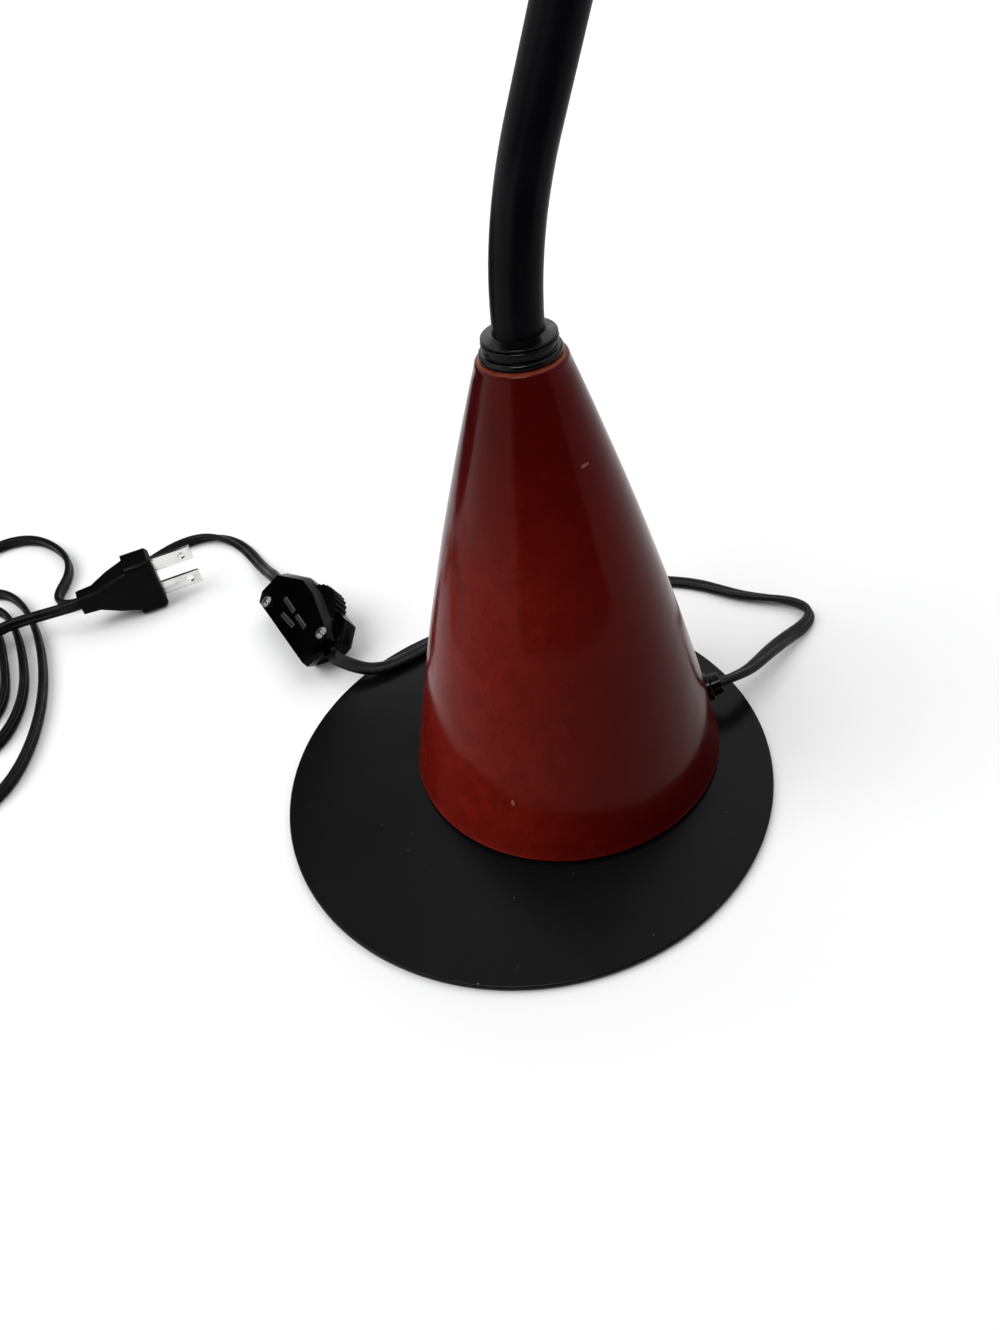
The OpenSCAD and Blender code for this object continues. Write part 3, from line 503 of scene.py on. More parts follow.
def finish_piece(piece, body, slot, *nodes):
    """Attaches a piece to the body it rides on and hides the CAD nodes that it stands for. The slot
    is not used.
    """
    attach(piece, body)
    if nodes:
        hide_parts(*nodes)


def arc(r, z, radius, first, last, steps):
    """Points of an arc in an (r, z) outline, from the angle first to last in degrees."""
    turns = [math.radians(first + (last - first) * k / steps) for k in range(steps + 1)]
    return [(r + radius * math.cos(t), z + radius * math.sin(t)) for t in turns]


def rounded(outline, steps):
    """Points of an outline of (r, z, radius) corners, each rounded by its radius."""
    made = []
    for k, (r, z, radius) in enumerate(outline):
        here = Vector((r, z))
        before, after = outline[k - 1][:2], outline[(k + 1) % len(outline)][:2]
        a, b = Vector(before) - here, Vector(after) - here
        # A corner takes less than half of either side
        reach = min(radius, a.length * 0.45, b.length * 0.45)
        if reach < 1e-6:
            made.append(here)
            continue
        p, q = here + a.normalized() * reach, here + b.normalized() * reach
        for s in range(steps + 1):
            t = s / steps
            made.append(p * (1 - t) ** 2 + here * 2 * t * (1 - t) + q * t ** 2)
    return made


def revolve(name, outline, material, sides=128, at=None, sharp=35):
    """A closed (r, z) outline turned round Z, then placed by the matrix at.

    Points of the outline at r 0 close the piece on its axis.
    """
    points, rows = [], []
    for r, z in outline:
        if abs(r) < 1e-7:
            rows.append([len(points)])
            points.append((0, 0, z))
        else:
            rows.append(list(range(len(points), len(points) + sides)))
            turns = [2 * math.pi * k / sides for k in range(sides)]
            points += [(r * math.cos(t), r * math.sin(t), z) for t in turns]
    faces = []
    for a, b in zip(rows, rows[1:] + rows[:1]):
        for k in range(sides):
            n = (k + 1) % sides
            if len(a) == 1 and len(b) == 1:
                break
            if len(a) == 1:
                faces.append((a[0], b[n], b[k]))
            elif len(b) == 1:
                faces.append((a[k], a[n], b[0]))
            else:
                faces.append((a[k], a[n], b[n], b[k]))
    if at is not None:
        points = [at @ Vector(p) for p in points]
    return sharpen(mesh_piece(name, points, faces, material), sharp)


def turned(name, node, outline, material, slot, at, body="base", sides=128, sharp=35):
    """A turned piece from an outline in millimetres that stands for a CAD node."""
    outline = [(r * MM, z * MM) for r, z in outline]
    finish_piece(revolve(name, outline, material, sides, at, sharp), body, slot, node)


def tube_faces(rings, sides, base=0, closed=True):
    """The faces of a tube whose rings of points start at base, and of its two ends."""
    last = base + (rings - 1) * sides
    faces = [(a + n, a + (n + 1) % sides, a + sides + (n + 1) % sides, a + sides + n)
             for a in range(base, last, sides) for n in range(sides)]
    if closed:
        faces += [tuple(reversed(range(base, base + sides))), tuple(range(last, last + sides))]
    return faces


def dressed(name, node, material, slot, bevel, segments=3, shaped=None):
    """A copy of a CAD node's own mesh with its flat faces joined and its edges rounded."""
    piece = bpy.data.objects.new(name, frame["nodes"][node].data.copy())
    bpy.context.scene.collection.objects.link(piece)
    piece.data.materials.clear()
    piece.data.materials.append(material)
    if shaped:
        shaped(piece)
    weld, flat, edge_from = 1e-5, math.radians(1.5), math.radians(24)
    work = bmesh.new()
    work.from_mesh(piece.data)
    bmesh.ops.remove_doubles(work, verts=work.verts, dist=weld)
    bmesh.ops.dissolve_limit(work, angle_limit=flat, verts=work.verts, edges=work.edges)
    bmesh.ops.recalc_face_normals(work, faces=work.faces)
    edges = [e for e in work.edges if len(e.link_faces) == 2 and e.calc_face_angle(0) > edge_from]
    bmesh.ops.bevel(work, geom=edges, offset=bevel, offset_type="OFFSET", segments=segments,
                    profile=0.5, affect="EDGES", clamp_overlap=True)
    work.to_mesh(piece.data)
    work.free()
    for face in piece.data.polygons:
        face.use_smooth = True
    sharpen(piece, 40)
    finish_piece(piece, frame["nodes"][node]["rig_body"], slot, node)


# ---------------------------------------------------------------- cords

CORD_W, CORD_T = 5.4 * MM, 2.8 * MM
CORD_WEB = 1.7 * MM
CORD_STEP = 2.2 * MM
SWITCH_AT = Vector((-118.7, -27.9, -0.9)) * MM
SWITCH_TURN, SWITCH_ROLL = math.radians(-4.9), math.radians(28)
SWITCH_L, SWITCH_W, SWITCH_H = 52 * MM, 23 * MM, 14 * MM
CORD_SIDE = -1 * MM
SWITCH = (Matrix.Translation(SWITCH_AT) @ Matrix.Rotation(SWITCH_TURN, 4, "Z")
          @ Matrix.Rotation(SWITCH_ROLL, 4, "X") @ Matrix.Translation((0, SWITCH_W / 2, 0)))
SWITCH_HEAD = Vector((-math.cos(SWITCH_TURN), -math.sin(SWITCH_TURN), 0))
PLUG_FACE, PLUG_TURN = Vector((-189, -58.5, 13.05)) * MM, math.radians(-12)
PLUG_L = 34 * MM
PLUG = Matrix.Translation(PLUG_FACE) @ Matrix.Rotation(PLUG_TURN, 4, "Z")

OUTLET_ANGLE, OUTLET_TILT, OUTLET_Z = math.radians(66), math.radians(13), 12.2 * MM
OUTLET_OUT = 5.6 * MM
# The frame of the cord outlet: +Z runs out of the cone's side
OUTLET = (Matrix.Translation((0, AXIS_Y, OUTLET_Z)) @ Matrix.Rotation(OUTLET_ANGLE, 4, "Z")
          @ Matrix.Translation((cone_radius(OUTLET_Z), 0, 0))
          @ Matrix.Rotation(math.pi / 2 - OUTLET_TILT, 4, "Y"))

# Routes as (x, y, z, roll) in millimetres and degrees; roll 0 lies flat, 90 stands on edge
LAMP_ROUTE = [
    (24.6, 81.5, 12.4, -24), (22.6, 90, 11.1, -8), (20.4, 98, 9.2, 10), (18.4, 106, 7, 25),
    (16.8, 113.5, 4.8, 42), (15.6, 120, 3.3, 56), (14, 126, 2.9, 65), (11, 129.8, 2.9, 65),
    (6, 130, 2.9, 60), (0, 127.5, 2.9, 50), (-7, 122.5, 2.8, 35), (-14, 118, 2.4, 20),
    (-22, 115, 2, 10), (-30, 112, 1.7, 0), (-38, 107, 1.6, 0), (-47, 99, 1.6, 0),
    (-56, 88, 1.6, 0), (-65, 75, 1.6, 0), (-72, 61, 2, 0), (-76, 47, 3.6, 0),
    (-77, 34, 4.8, 0), (-75.5, 21, 4.6, 0), (-74.3, 9, 4.6, 0), (-74.7, -2, 4.6, 0),
    (-75.5, -10.5, 5, -5), (-78.3, -17.5, 6.3, -14), (-83, -21.7, 8.6, -23)]
ARC_ROUTE = [
    (-156, -18.3, 8.6, -20), (-164, -18, 6, -10), (-172, -17.4, 3.6, 0), (-181, -16.8, 2, 0),
    (-191, -16.2, 1.6, 0), (-201, -17, 1.7, 5), (-210, -20, 2.2, 25), (-216.5, -25.5, 2.8, 55),
    (-219.5, -33, 3, 80), (-220.2, -42, 3, 90), (-218.5, -51, 3, 90), (-216, -60, 3, 90),
    (-214, -69, 3, 90), (-212.5, -78, 3, 90), (-211.5, -86, 3, 90), (-212, -92.5, 3, 90),
    (-215, -97.5, 3, 90), (-220, -99, 3, 90), (-225.5, -97, 3, 90), (-231, -92, 3, 90),
    (-238, -87.5, 3, 90), (-247, -84.8, 3, 90), (-257, -84.5, 3, 90), (-268, -86.5, 3, 90),
    (-278, -90.5, 3, 90), (-285, -97, 3, 90), (-288, -105, 3, 90), (-287.5, -114, 3, 90),
    (-284, -123, 3, 90), (-278, -130.5, 3, 90), (-271, -136.5, 3, 90), (-265, -143.8, 2.9, 90)]
TAIL_ROUTE = [
    (-202, -105.5, 11.6, 90), (-206, -110.5, 10, 90), (-209, -115, 9.2, 90),
    (-210.6, -120.5, 9, 90), (-210.9, -127, 8.9, 90), (-210, -133, 7.6, 90),
    (-209.2, -138.5, 5.4, 90), (-211.6, -144, 3.9, 90), (-216.8, -147.2, 3, 90),
    (-223, -146.8, 2.9, 90), (-228, -142.8, 2.85, 90), (-230.2, -137, 2.85, 90),
    (-228.6, -131, 2.85, 90), (-223.6, -127, 2.85, 90), (-217, -126.4, 2.85, 90)]
HANK_AT, HANK_TURN, HANK_Z = (-186, -141), math.radians(-15.7), 2.85
HANK_LOOPS, HANK_RINGS, HANK_T0 = 3, 24, 210
# The spiral starts at this ring, where the tail joins it
HANK_INNER = 6


def hank_point(k):
    """The point k turns from the inner end of the hank's spiral of oval loops."""
    t = math.radians(HANK_T0 - 360 * k)
    right, left = 20.6 + 4 * k + 6 * k * k, 43 + 12 * k
    back = 6 + 7.75 * k
    front = 2.2 * back
    x = math.cos(t) * (right if math.cos(t) > 0 else left)
    y = math.sin(t) * (back if math.sin(t) > 0 else front)
    return (HANK_AT[0] + x * math.cos(HANK_TURN) - y * math.sin(HANK_TURN),
            HANK_AT[1] + x * math.sin(HANK_TURN) + y * math.cos(HANK_TURN), HANK_Z, 90)


def smooth_route(route, steps=5):
    """Points on one smooth curve through the route, with the roll eased between them."""
    made = []
    for k in range(len(route) - 1):
        a, b = route[max(k - 1, 0)], route[k]
        c, d = route[k + 1], route[min(k + 2, len(route) - 1)]
        for s in range(steps):
            t = s / steps
            made.append(tuple(
                0.5 * (2 * q + (r - p) * t + (2 * p - 5 * q + 4 * r - w) * t * t
                       + (3 * q - p - 3 * r + w) * t ** 3)
                for p, q, r, w in zip(a, b, c, d)))
    return made + [route[-1]]


def eased(route, passes):
    """The route in even steps with its kinks eased; the points of its straight ends stay."""
    held = 3
    rows, marks = [Vector(p) for p in route], [0.0]
    for a, b in zip(rows, rows[1:]):
        marks.append(marks[-1] + (b.xyz - a.xyz).length)
    count, even, k = round(marks[-1] / CORD_STEP), [], 0
    for n in range(count + 1):
        want = marks[-1] * n / count
        while k < len(marks) - 2 and marks[k + 1] < want:
            k += 1
        even.append(rows[k].lerp(rows[k + 1], (want - marks[k]) / (marks[k + 1] - marks[k])))
    for _ in range(passes):
        even = [p if k < held or k >= len(even) - held else (even[k - 1] + p * 2 + even[k + 1]) / 4
                for k, p in enumerate(even)]
    return even


def cord_section():
    """Half widths (wide, thin) round two conductors side by side, with a groove on each face."""
    steps, limit = 12, math.radians(132)
    r = CORD_T / 2
    middle = (CORD_W - CORD_T) / 2
    right = [(middle + r * math.cos(a), r * math.sin(a))
             for a in (-limit + 2 * limit * k / steps for k in range(steps + 1))]
    left = [(-x, -y) for x, y in right]
    return right + [(0, CORD_WEB / 2)] + left + [(0, -CORD_WEB / 2)]


def cord_piece(name, route, first, last):
    """A tube of the flat cord's section along (x, y, z, roll) in metres and degrees."""
    section = cord_section()
    points, path = [], [Vector(p[:3]) for p in route]
    for k, (*_, roll) in enumerate(route):
        ahead = path[min(k + 1, len(path) - 1)] - path[max(k - 1, 0)]
        ahead = first if k == 0 else last if k == len(route) - 1 else ahead.normalized()
        side = Vector((0, 0, 1)).cross(ahead).normalized()
        up = ahead.cross(side)
        turn = math.radians(roll)
        wide = side * math.cos(turn) + up * math.sin(turn)
        thin = ahead.cross(wide)
        points += [path[k] + wide * u + thin * v for u, v in section]
    piece = mesh_piece(name, points, tube_faces(len(route), len(section)), CORD)
    return sharpen(piece, 60), path


def route_of(start, start_dir, middle, end, end_dir, start_roll, end_roll):
    """A route in millimetres between two straight leads that sag a little, in metres."""
    lead, sag = 4.5 * MM, Vector((0, 0, 0.0003))
    route = [(*start, start_roll), (*(start + start_dir * lead - sag), start_roll)]
    route += [(x * MM, y * MM, z * MM, roll) for x, y, z, roll in middle]
    return route + [(*(end - end_dir * lead - sag), end_roll), (*end, end_roll)]


def make_cords():
    """Both cords, each as its piece and its centre line."""
    outlet_dir = (OUTLET.to_3x3() @ Vector((0, 0, 1))).normalized()
    start = OUTLET @ Vector((0, 0, OUTLET_OUT))
    lamp_end = SWITCH @ Vector((SWITCH_L / 2, CORD_SIDE, SWITCH_H / 2))
    route = route_of(start, outlet_dir, LAMP_ROUTE, lamp_end, SWITCH_HEAD,
                     start_roll=-35, end_roll=-28)
    lamp, lamp_path = cord_piece("cord_to_switch", eased(smooth_route(route), 6),
                                 outlet_dir, SWITCH_HEAD)
    finish_piece(lamp, "base", "cord_vinyl", "cord_lamp")

    arc_start = SWITCH @ Vector((-SWITCH_L / 2, CORD_SIDE, SWITCH_H / 2))
    plug_dir = (PLUG.to_3x3() @ Vector((0, 1, 0))).normalized()
    plug_end = PLUG @ Vector((0, -PLUG_L, 0))
    rings = range(HANK_LOOPS * HANK_RINGS, HANK_INNER - 1, -1)
    middle = ARC_ROUTE + [hank_point(k / HANK_RINGS) for k in rings] + TAIL_ROUTE[::-1]
    route = route_of(arc_start, SWITCH_HEAD, middle, plug_end, plug_dir,
                     start_roll=-28, end_roll=90)
    tail, tail_path = cord_piece("cord_to_plug", eased(smooth_route(route, 4), 8),
                                 SWITCH_HEAD, plug_dir)
    finish_piece(tail, "base", "cord_vinyl", "cord_arc", "cord_hank", "cord_tail")
    return (lamp, lamp_path), (tail, tail_path)


LAMP_CORD, PLUG_CORD = make_cords()


# ---------------------------------------------------------------- foot and cone

def make_foot():
    """The flat foot plate with its rounded rim."""
    rim_r = 0.8 * MM
    outline = rounded([(0, PLATE_FOOT, 0), (PLATE_R, PLATE_FOOT, rim_r),
                       (PLATE_R, PLATE_TOP, rim_r), (0, PLATE_TOP, 0)], 6)
    plate = revolve("foot_plate", outline, BLACK_PAINT, 192)
    finish_piece(plate, "base", "black_steel", "base_plate")


def make_cone():
    """The glazed cone with its rounded rims, its hollow and the stepped seat at its top."""
    rim_r, steps = 1.6 * MM, 48
    outer = []
    for k in range(steps + 1):
        z = CONE_FOOT + rim_r + (CONE_TOP - CONE_FOOT - 2 * rim_r) * k / steps
        outer.append((cone_radius(z), z))
    foot = [(CONE_R - rim_r + rim_r * math.sin(a), CONE_FOOT + rim_r - rim_r * math.cos(a))
            for a in (math.pi / 2 * k / 6 for k in range(6))]
    top_r = cone_radius(CONE_TOP - rim_r)
    top = [(top_r - rim_r + rim_r * math.cos(a), CONE_TOP - rim_r + rim_r * math.sin(a))
           for a in (math.pi / 2 * k / 8 for k in range(1, 9))]
    bore, seat_r, seat_z = 5.3 * MM, 7.6 * MM, CONE_TOP - 2.5 * MM
    cap, least_r = CONE_TOP - 9 * MM, 7 * MM
    seat = [(seat_r, CONE_TOP), (seat_r, seat_z), (bore, seat_z), (bore, cap)]
    inner = [(max(cone_radius(z) - CONE_WALL, least_r), z)
             for z in (cap - (cap - CONE_FOOT) * k / steps for k in range(steps + 1))]
    at = Matrix.Translation((0, AXIS_Y, 0))
    cone = revolve("glazed_cone", foot + outer + top + seat + inner, GLAZE, 256, at, 50)
    finish_piece(cone, "base", "glaze", "ceramic_cone")


def make_collar():
    """Two turned rings: a fat bead with a plain wall, then a thin bead and lip under the sleeve."""
    at = Matrix.Translation((0, AXIS_Y, CONE_TOP))
    low = ([(5.05, -2.2), (7.4, -2.2), (7.4, 0.02)] + arc(9.95, 0.97, 0.95, -90, 90, 12)
           + [(9.6, 1.96), (9.42, 2.1), (9.4, 2.3), (9.4, 3.58), (5.05, 3.58)])
    turned("collar_lower", "collar_ring", low, COLLAR_PLASTIC, "black_plastic", at, sides=160)
    top = ([(5.05, 3.62), (9.3, 3.62)] + arc(9.55, 4.07, 0.45, -80, 90, 8)
           + [(9.1, 4.56), (9.0, 4.66), (9.0, 4.78)] + arc(9.5, 5.16, 0.36, -80, 100, 8)
           + [(9.2, 5.58), (8.4, 5.74), (7.6, 5.92), (7.1, 6.08), (6.78, 6.2), (6.7, 6.16),
              (6.7, 4.1), (5.05, 4.1)])
    turned("collar_upper", "collar_cap", top, COLLAR_PLASTIC, "black_plastic", at, sides=160)


def make_bush():
    """The cord's outlet: a flange against the glaze and a ribbed nose."""
    nose = [(4.2, 1.72)]
    for k in range(3):
        r, z = 4.1 - 0.16 * k, 2.1 + 1.1 * k
        nose += [(r - 0.35, z), (r - 0.35, z + 0.3), (r, z + 0.45), (r, z + 1.0)]
    outline = ([(2.9, -8), (4.15, -8), (4.15, 0.1), (4.8, 0.1)] + arc(4.6, 1.3, 0.4, 0, 90, 6)
               + nose + [(3.5, 5.3), (3.2, 5.58), (0, 5.6), (0, 3), (2.9, 3)])
    turned("outlet_bush", "cord_bush", outline, COLLAR_PLASTIC, "black_plastic", OUTLET, sides=72)


make_foot()
make_cone()
make_collar()
make_bush()


# ---------------------------------------------------------------- neck

NECK_JOINTS = [joint for joint in frame["joints"] if joint["name"].startswith("neck_")]
# How far from its joint each body takes hold of a stretch, as a share of its length
HOLD = 0.46
# At the all_max and all_min poses that fails for these two stretches when the joint's parent is
# named first, and holds when its child is
CHILD_FIRST = (3, 6)


def make_neck():
    """Each stretch of the sleeve as a tube bent along its arc; the points where its joint's two
    bodies would hold it are worked out, but nothing uses them.
    """
    sides, rings = 64, 41
    for number, (start, lean, turn) in enumerate(CELLS, 1):
        points = []
        for ring in range(rings):
            (y, z), t = neck_arc(start, lean, turn, NECK_CELL, NECK_CELL * ring / (rings - 1))
            middle, ahead = Vector((0, y, z)), Vector((0, math.cos(t), math.sin(t)))
            for a in (2 * math.pi * s / sides for s in range(sides)):
                points.append(middle + Vector((1, 0, 0)) * NECK_R * math.cos(a)
                              + ahead * NECK_R * math.sin(a))
        faces = tube_faces(rings, sides, closed=False)
        piece = sharpen(mesh_piece(f"sleeve_{number}", points, faces, SLEEVE), 60)
        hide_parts(f"neck_sleeve_{number}")
        joint = NECK_JOINTS[number - 1]
        centre = Vector(joint["pos_m"])
        way = Vector((0, -math.sin(lean + turn / 2), math.cos(lean + turn / 2)))
        ends = [(joint["parent"], centre - way * NECK_CELL * HOLD),
                (joint["child"], centre + way * NECK_CELL * HOLD)]
        if number in CHILD_FIRST:
            ends.reverse()
        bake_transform(piece)


make_neck()


# ---------------------------------------------------------------- head

# In millimetres along the head's axis, from the neck's end
BULB_R, BULB_MIDDLE = 23, 86
BULB_FOOT_R, BULB_FOOT = 12.4, 49
GLASS_T = 0.9
SHADE_BACK = 30


def bulb_outline():
    """Outside of the bulb's glass from its foot to its crown: a waist, then a ball."""
    meet_at, steps = -32, 13
    lean = math.radians(meet_at)
    foot = Vector((BULB_FOOT_R, BULB_FOOT))
    meet = Vector((BULB_R * math.cos(lean), BULB_MIDDLE + BULB_R * math.sin(lean)))
    way = Vector((-math.sin(lean), math.cos(lean)))
    knees = [foot, foot + Vector((0, 10)), meet - way * 10, meet]
    waist = []
    for t in (k / steps for k in range(steps)):
        shares = ((1 - t) ** 3, 3 * t * (1 - t) ** 2, 3 * t * t * (1 - t), t ** 3)
        point = sum((knee * share for knee, share in zip(knees, shares)), Vector((0, 0)))
        waist.append((point.x, point.y))
    ball = arc(0, BULB_MIDDLE, BULB_R, meet_at, 90, 40)
    return waist + ball[:-1] + [(0, BULB_MIDDLE + BULB_R)]


def make_cap_and_holder():
    cup = ([(7.05, -5), (8.5, -5), (8.75, -4.9), (8.85, -4.6), (8.85, -1.4), (8.9, -1.15)]
           + arc(9.25, -0.25, 0.8, -90, 90, 10) + [(9.05, 0.6), (9.0, 0.85)]
           + arc(9.3, 1.45, 0.5, -90, 90, 8) + [(4.85, 1.98), (4.85, 0.2), (7.05, 0.2)])
    turned("head_cup", "head_collar", cup, COLLAR_PLASTIC, "black_plastic", HEAD, "head")

    bell = [(4.85, 2.02)] + arc(10, 13, 11, -90, 0, 20)
    for z in (23.2, 25.4):
        bell += [(21, z), (20.85, z + 0.12), (20.6, z + 0.3),
                 (20.6, z + 0.6), (20.85, z + 0.78), (21, z + 0.9)]
    bell += ([(21, 29.4)] + arc(20.5, 29.5, 0.5, 0, 90, 4) + [(19.5, 30)]
             + arc(10, 13, 9.5, 0, -90, 16) + [(4.85, 3.5)])
    turned("cap_bell", "socket_cap", bell, BLACK_PAINT, "black_steel", HEAD, "head", 160)

    thread = []
    for z in (36.6 + 1.9 * k for k in range(8)):
        thread += [(16.8, z), (16.8, z + 0.5), (16.35, z + 0.95), (16.35, z + 1.4)]
    body = ([(3, 13), (19.2, 13), (19.45, 13.3), (19.45, 28.7), (19.2, 29), (16.8, 29)] + thread
            + [(16.8, 52.2), (16.5, 52.8), (15.5, 53), (14.5, 52.8), (14.2, 52.2), (14.2, 19),
               (3, 19)])
    turned("holder_body", "lampholder", body, BODY_PLASTIC, "black_plastic", HEAD, "head", 96)


def make_shade():
    """The shade's sheet is black outside, with its bead, and white inside."""
    back = SHADE_BACK
    shell = ([(17.1, back), (22.4, back), (22.95, back + 0.25), (23.25, back + 0.75),
              (53.45, back + 80.6)] + arc(54.5, back + 82, 1.5, -130, 165, 18)
             + [(53.22, back + 81.8), (22.5, back + 0.72), (17.1, back + 0.72)])
    turned("shade_shell", "shade", shell, SHADE_PAINT, "black_steel", HEAD, "head", 256)
    lining = [(17.1, back + 0.74), (22.48, back + 0.74), (53.18, back + 81.76),
              (52.86, back + 81.7), (22.3, back + 1.1), (22.0, back + 1), (17.1, back + 1)]
    turned("shade_lining", "shade", lining, ENAMEL, "black_steel", HEAD, "head", 256)


def make_bulb():
    outside = bulb_outline()
    height = BULB_MIDDLE + BULB_R - BULB_FOOT
    inside = [(max(r - GLASS_T, 0), z - GLASS_T * (z - BULB_FOOT) / height)
              for r, z in reversed(outside)]
    turned("bulb_envelope", "bulb_glass", outside + inside, OPAL, "bulb_glass", HEAD, "head")

    thread_r, depth, pitch, foot = 12.45, 0.5, 3.6, 28.6
    thread = [(thread_r + depth * math.sin(2 * math.pi * (z - foot) / pitch), z)
              for z in (foot + 0.3 * k for k in range(58))]
    cap = ([(0, 25), (3.6, 25), (4.4, 25.4), (4.7, 26), (9.9, 28), (12.2, 28.3)] + thread
           + [(12.9, 46.4), (12.9, 49), (11.4, 49), (11.4, 29), (0, 29)])
    turned("bulb_screw", "bulb_cap", cap, BULB_METAL, "bulb_metal", HEAD, "head", 96, 60)


make_cap_and_holder()
make_shade()
make_bulb()


# ---------------------------------------------------------------- hidden pieces

def repaint(material, *nodes):
    """Gives nodes of the frame that keep their own shape a plain finish."""
    for name in nodes:
        mesh = frame["nodes"][name].data
        mesh.materials.clear()
        mesh.materials.append(material)


repaint(FELT, "felt_pad")
repaint(FOAM, "cone_gasket")
repaint(ZINC, "base_washer", "base_nut", "stem_pipe", "socket_nut")
repaint(CORE_STEEL, *[f"neck_link_{k}" for k in range(1, 10)])
repaint(BRASS, "screw_shell", "centre_contact", "switch_contacts")


# ---------------------------------------------------------------- switch and plug

BAR_W, BAR_LOW, BAR_HIGH = 2.0 * MM, SWITCH_H - 0.2 * MM, SWITCH_H + 0.55 * MM
# The two ends of each bar on the top of the switch, in millimetres
BAR_ENDS = (((-10.7, -1.4), (0.4, -1.8)), ((-4.9, -6.2), (6.4, -5.5)), ((2.6, -1.9), (12.1, -2.1)))
# The conductors' radius and centre lines, in millimetres in the frame of the switch
CONDUCTOR_R = 1.35
CONDUCTOR_BENDS = (((27.5, 0.3, 7.6), (25, 0.4, 8.2), (22, 0.5, 8.8), (17, 0.5, 9)),
                   ((27.5, -2.3, 6.4), (25, -2.9, 6.2), (22, -3.4, 6), (17, -3.5, 6)))


def bar_points(start, end):
    """Three rings of eight points: a raised bar with cut corners whose sides lean in at the top."""
    points = []
    along = (end - start).normalized()
    across = Vector((-along.y, along.x))
    for inset, z in ((0.0, BAR_LOW), (0.0, (BAR_LOW + BAR_HIGH) / 2), (0.35 * MM, BAR_HIGH)):
        half, cut = BAR_W / 2 - inset, 0.45 * MM
        for end_at, out in ((start, -1), (end, 1)):
            tip = end_at - along * out * inset
            for side in (-out, out):
                corner = [tip + across * side * (half - cut),
                          tip - along * out * cut + across * side * half]
                if (side > 0) != (out > 0):
                    corner.reverse()
                points += [SWITCH @ Vector((p.x, p.y, z)) for p in corner]
    return points


def make_bars():
    """Three plain raised bars on the flat top of the switch."""
    points, faces = [], []
    for start, end in BAR_ENDS:
        faces += tube_faces(3, 8, len(points))
        points += bar_points(Vector(start) * MM, Vector(end) * MM)
    bars = sharpen(mesh_piece("grip_bars", points, faces, BAR_PLASTIC), 25)
    finish_piece(bars, "base", "gloss_black")


def make_conductors():
    """The cord's two conductors, parted where they go into the switch."""
    points, faces, sides = [], [], 20
    turns = [2 * math.pi * n / sides for n in range(sides)]
    for bend in CONDUCTOR_BENDS:
        route = [Vector(at) for at in smooth_route([tuple(Vector(p) * MM) for p in bend])]
        faces += tube_faces(len(route), sides, len(points))
        for k, at in enumerate(route):
            ahead = route[min(k + 1, len(route) - 1)] - route[max(k - 1, 0)]
            side = Vector((0, 0, 1)).cross(ahead).normalized()
            rise = ahead.normalized().cross(side)
            points += [SWITCH @ (at + (side * math.cos(a) + rise * math.sin(a)) * CONDUCTOR_R * MM)
                       for a in turns]
    piece = sharpen(mesh_piece("conductors", points, faces, CORD), 50)
    finish_piece(piece, "base", "cord_vinyl")


def cut_under_cord(piece):
    """Slants the housing's end inwards under the lamp's cord."""
    from_x, from_y, below_z, slant = 20 * MM, -2 * MM, 11.5 * MM, 0.85
    back = SWITCH.inverted()
    for vertex in piece.data.vertices:
        at = back @ vertex.co
        if at.x > from_x and at.y < from_y:
            at.x -= max(0.0, below_z - at.z) * slant
            vertex.co = SWITCH @ at


dressed("switch_shell_lower", "switch_base", GLOSS_PLASTIC, "gloss_black", 0.9 * MM,
        shaped=cut_under_cord)
dressed("switch_shell_upper", "switch_cover", GLOSS_PLASTIC, "gloss_black", 0.9 * MM,
        shaped=cut_under_cord)
dressed("thumbwheel", "switch_wheel", WHEEL_PLASTIC, "gloss_black", 0.25 * MM, 2)
dressed("screws", "switch_screws", SCREW_METAL, "nickel", 0.08 * MM, 2)
dressed("grip_ring", "shade_ring", BODY_PLASTIC, "black_plastic", 0.3 * MM, 2)
dressed("plug_moulding", "plug_body", BODY_PLASTIC, "black_plastic", 0.9 * MM)
dressed("blades", "plug_blades", NICKEL, "nickel", 0.2 * MM, 2)
make_bars()
make_conductors()


# ---------------------------------------------------------------- floor and light

WORLD_LIGHT = 0.38


def make_stage():
    half = 4
    corners = [(-half, -half, 0), (half, -half, 0), (half, half, 0), (-half, half, 0)]
    floor = mesh_piece("floor", corners, [(0, 1, 2, 3)], None)
    floor.data.materials[0] = Paint("floor white", (0.93, 0.93, 0.93), 0.9, spec=0.0).mat


def toward(azimuth, height=0.0):
    """The direction to an azimuth (0 is -Y, 90 is +X) and height in degrees."""
    a, h = math.radians(azimuth), math.radians(height)
    return Vector((math.sin(a) * math.cos(h), -math.cos(a) * math.cos(h), math.sin(h)))


def sun(name, strength, angle, azimuth, height):
    """A soft lamp that shines from that azimuth and height."""
    data = bpy.data.lights.new(name, "SUN")
    data.energy, data.angle = strength, math.radians(angle)
    lamp = bpy.data.objects.new(name, data)
    bpy.context.scene.collection.objects.link(lamp)
    lamp.rotation_mode = "QUATERNION"
    lamp.rotation_quaternion = toward(azimuth, height).to_track_quat("Z", "Y")


def card(name, light, points, faces):
    """A glowing or black card that only reflections see."""
    paint = Paint(name, (0, 0, 0), 1.0, spec=0.0)
    paint.set("Emission Color", (1, 1, 1, 1))
    paint.set("Emission Strength", light)
    made = mesh_piece(name, points, faces, paint.mat)
    for ray in ("camera", "diffuse", "transmission", "volume_scatter", "shadow"):
        setattr(made, "visible_" + ray, False)


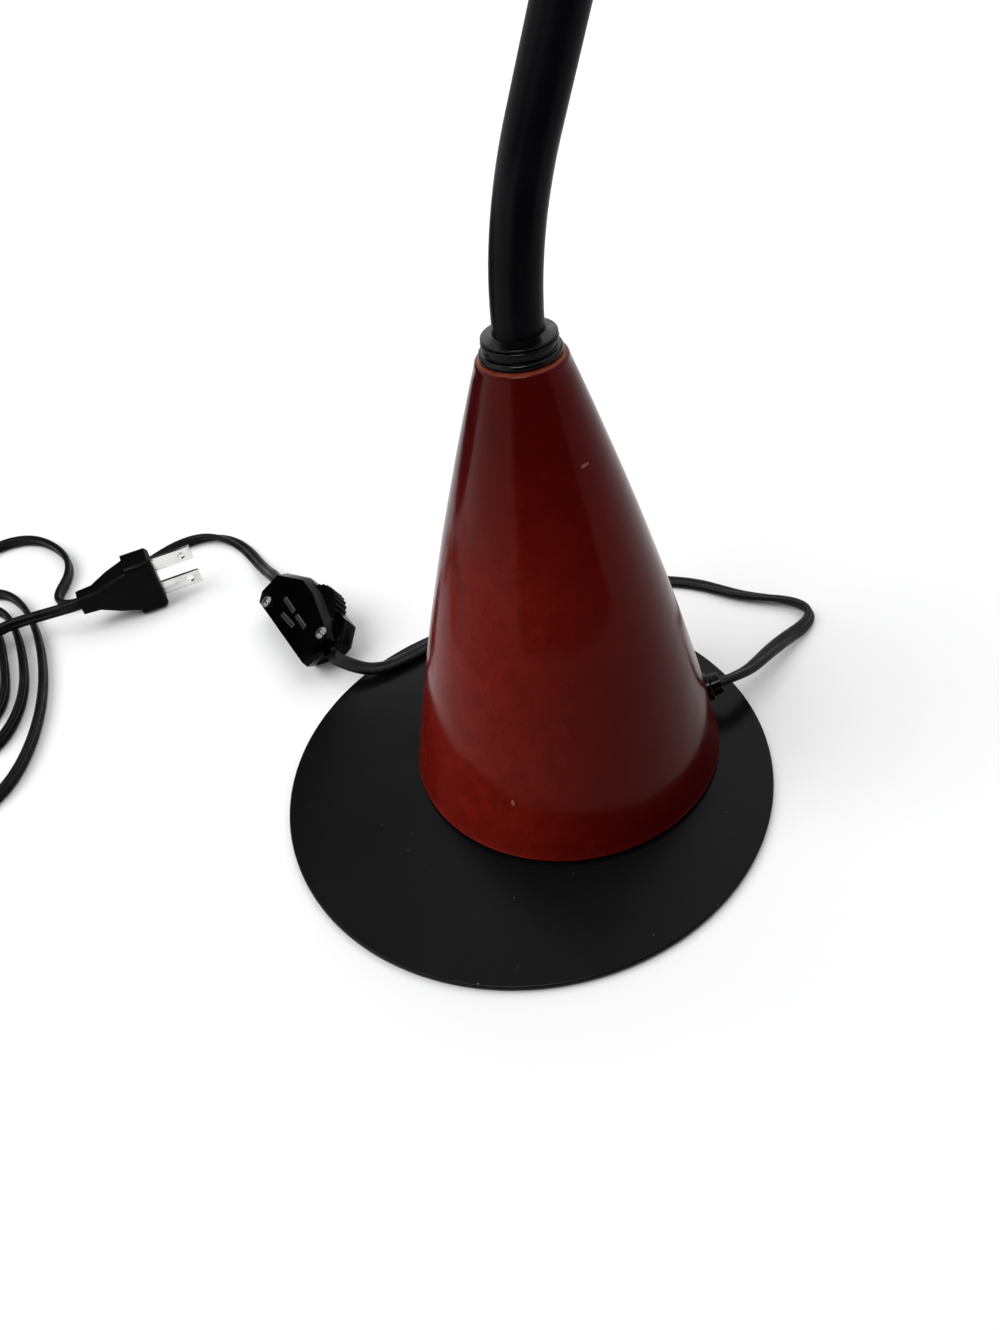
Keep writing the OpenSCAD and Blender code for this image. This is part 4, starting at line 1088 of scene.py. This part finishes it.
def reflector(name, light, first, last, distance, low, high):
    """An upright curved card round the lamp, from azimuth first to last."""
    steps = 24
    points = []
    for k in range(steps + 1):
        out = toward(first + (last - first) * k / steps) * distance + Vector((0, AXIS_Y, 0))
        points += [out + Vector((0, 0, low)), out + Vector((0, 0, high))]
    card(name, light, points, [(2 * k, 2 * k + 1, 2 * k + 3, 2 * k + 2) for k in range(steps)])


def panel(name, light, target, azimuth, height, distance, wide, tall):
    """An oval card that faces a target from that azimuth and height."""
    steps = 32
    out = toward(azimuth, height)
    middle = target + out * distance
    side = Vector((0, 0, 1)).cross(out).normalized()
    rise = out.cross(side)
    ring = [middle + side * math.cos(a) * wide + rise * math.sin(a) * tall
            for a in (2 * math.pi * k / steps for k in range(steps))]
    card(name, light, ring, [tuple(range(steps))])


def make_world():
    """A pale sky that lights the lamp less than it shows to the camera, in metal and in glass."""
    world = bpy.data.worlds.new("studio")
    bpy.context.scene.world = world
    world.use_nodes = True
    tree = world.node_tree
    back = tree.nodes["Background"]
    path = tree.nodes.new("ShaderNodeLightPath")
    strength = tree.nodes.new("ShaderNodeMapRange")
    strength.inputs["To Min"].default_value = WORLD_LIGHT
    strength.inputs["To Max"].default_value = 1.0
    seen = path.outputs["Is Camera Ray"]
    for ray in ("Is Glossy Ray", "Is Transmission Ray"):
        either = tree.nodes.new("ShaderNodeMath")
        either.operation = "MAXIMUM"
        tree.links.new(seen, either.inputs[0])
        tree.links.new(path.outputs[ray], either.inputs[1])
        seen = either.outputs["Value"]
    tree.links.new(seen, strength.inputs["Value"])
    back.inputs["Color"].default_value = (0.98, 0.99, 1, 1)
    tree.links.new(strength.outputs["Result"], back.inputs["Strength"])


def make_lamps():
    sun("key", strength=1.85, angle=50, azimuth=-15, height=52)
    sun("back", strength=0.9, angle=60, azimuth=200, height=60)
    sun("fill", strength=0.35, angle=70, azimuth=100, height=50)
    reflector("flag", light=0, first=28, last=112, distance=0.42, low=0.0, high=0.6)
    reflector("softbox", light=2.1, first=-75, last=24, distance=0.5, low=0.0, high=0.35)
    collar = Vector((0, AXIS_Y, CONE_TOP))
    panel("soft_lamp", 26, collar, azimuth=38, height=60, distance=1.2, wide=0.36, tall=0.14)
    panel("window", 2.3, collar, azimuth=-120, height=25, distance=1.8, wide=0.75, tall=0.36)
    panel("switch_flag", 0, SWITCH @ Vector((0, 0, SWITCH_H)), azimuth=-67, height=28.6,
          distance=0.16, wide=0.11, tall=0.1)


make_stage()
make_world()
make_lamps()
bpy.context.scene.view_settings.view_transform = "Standard"
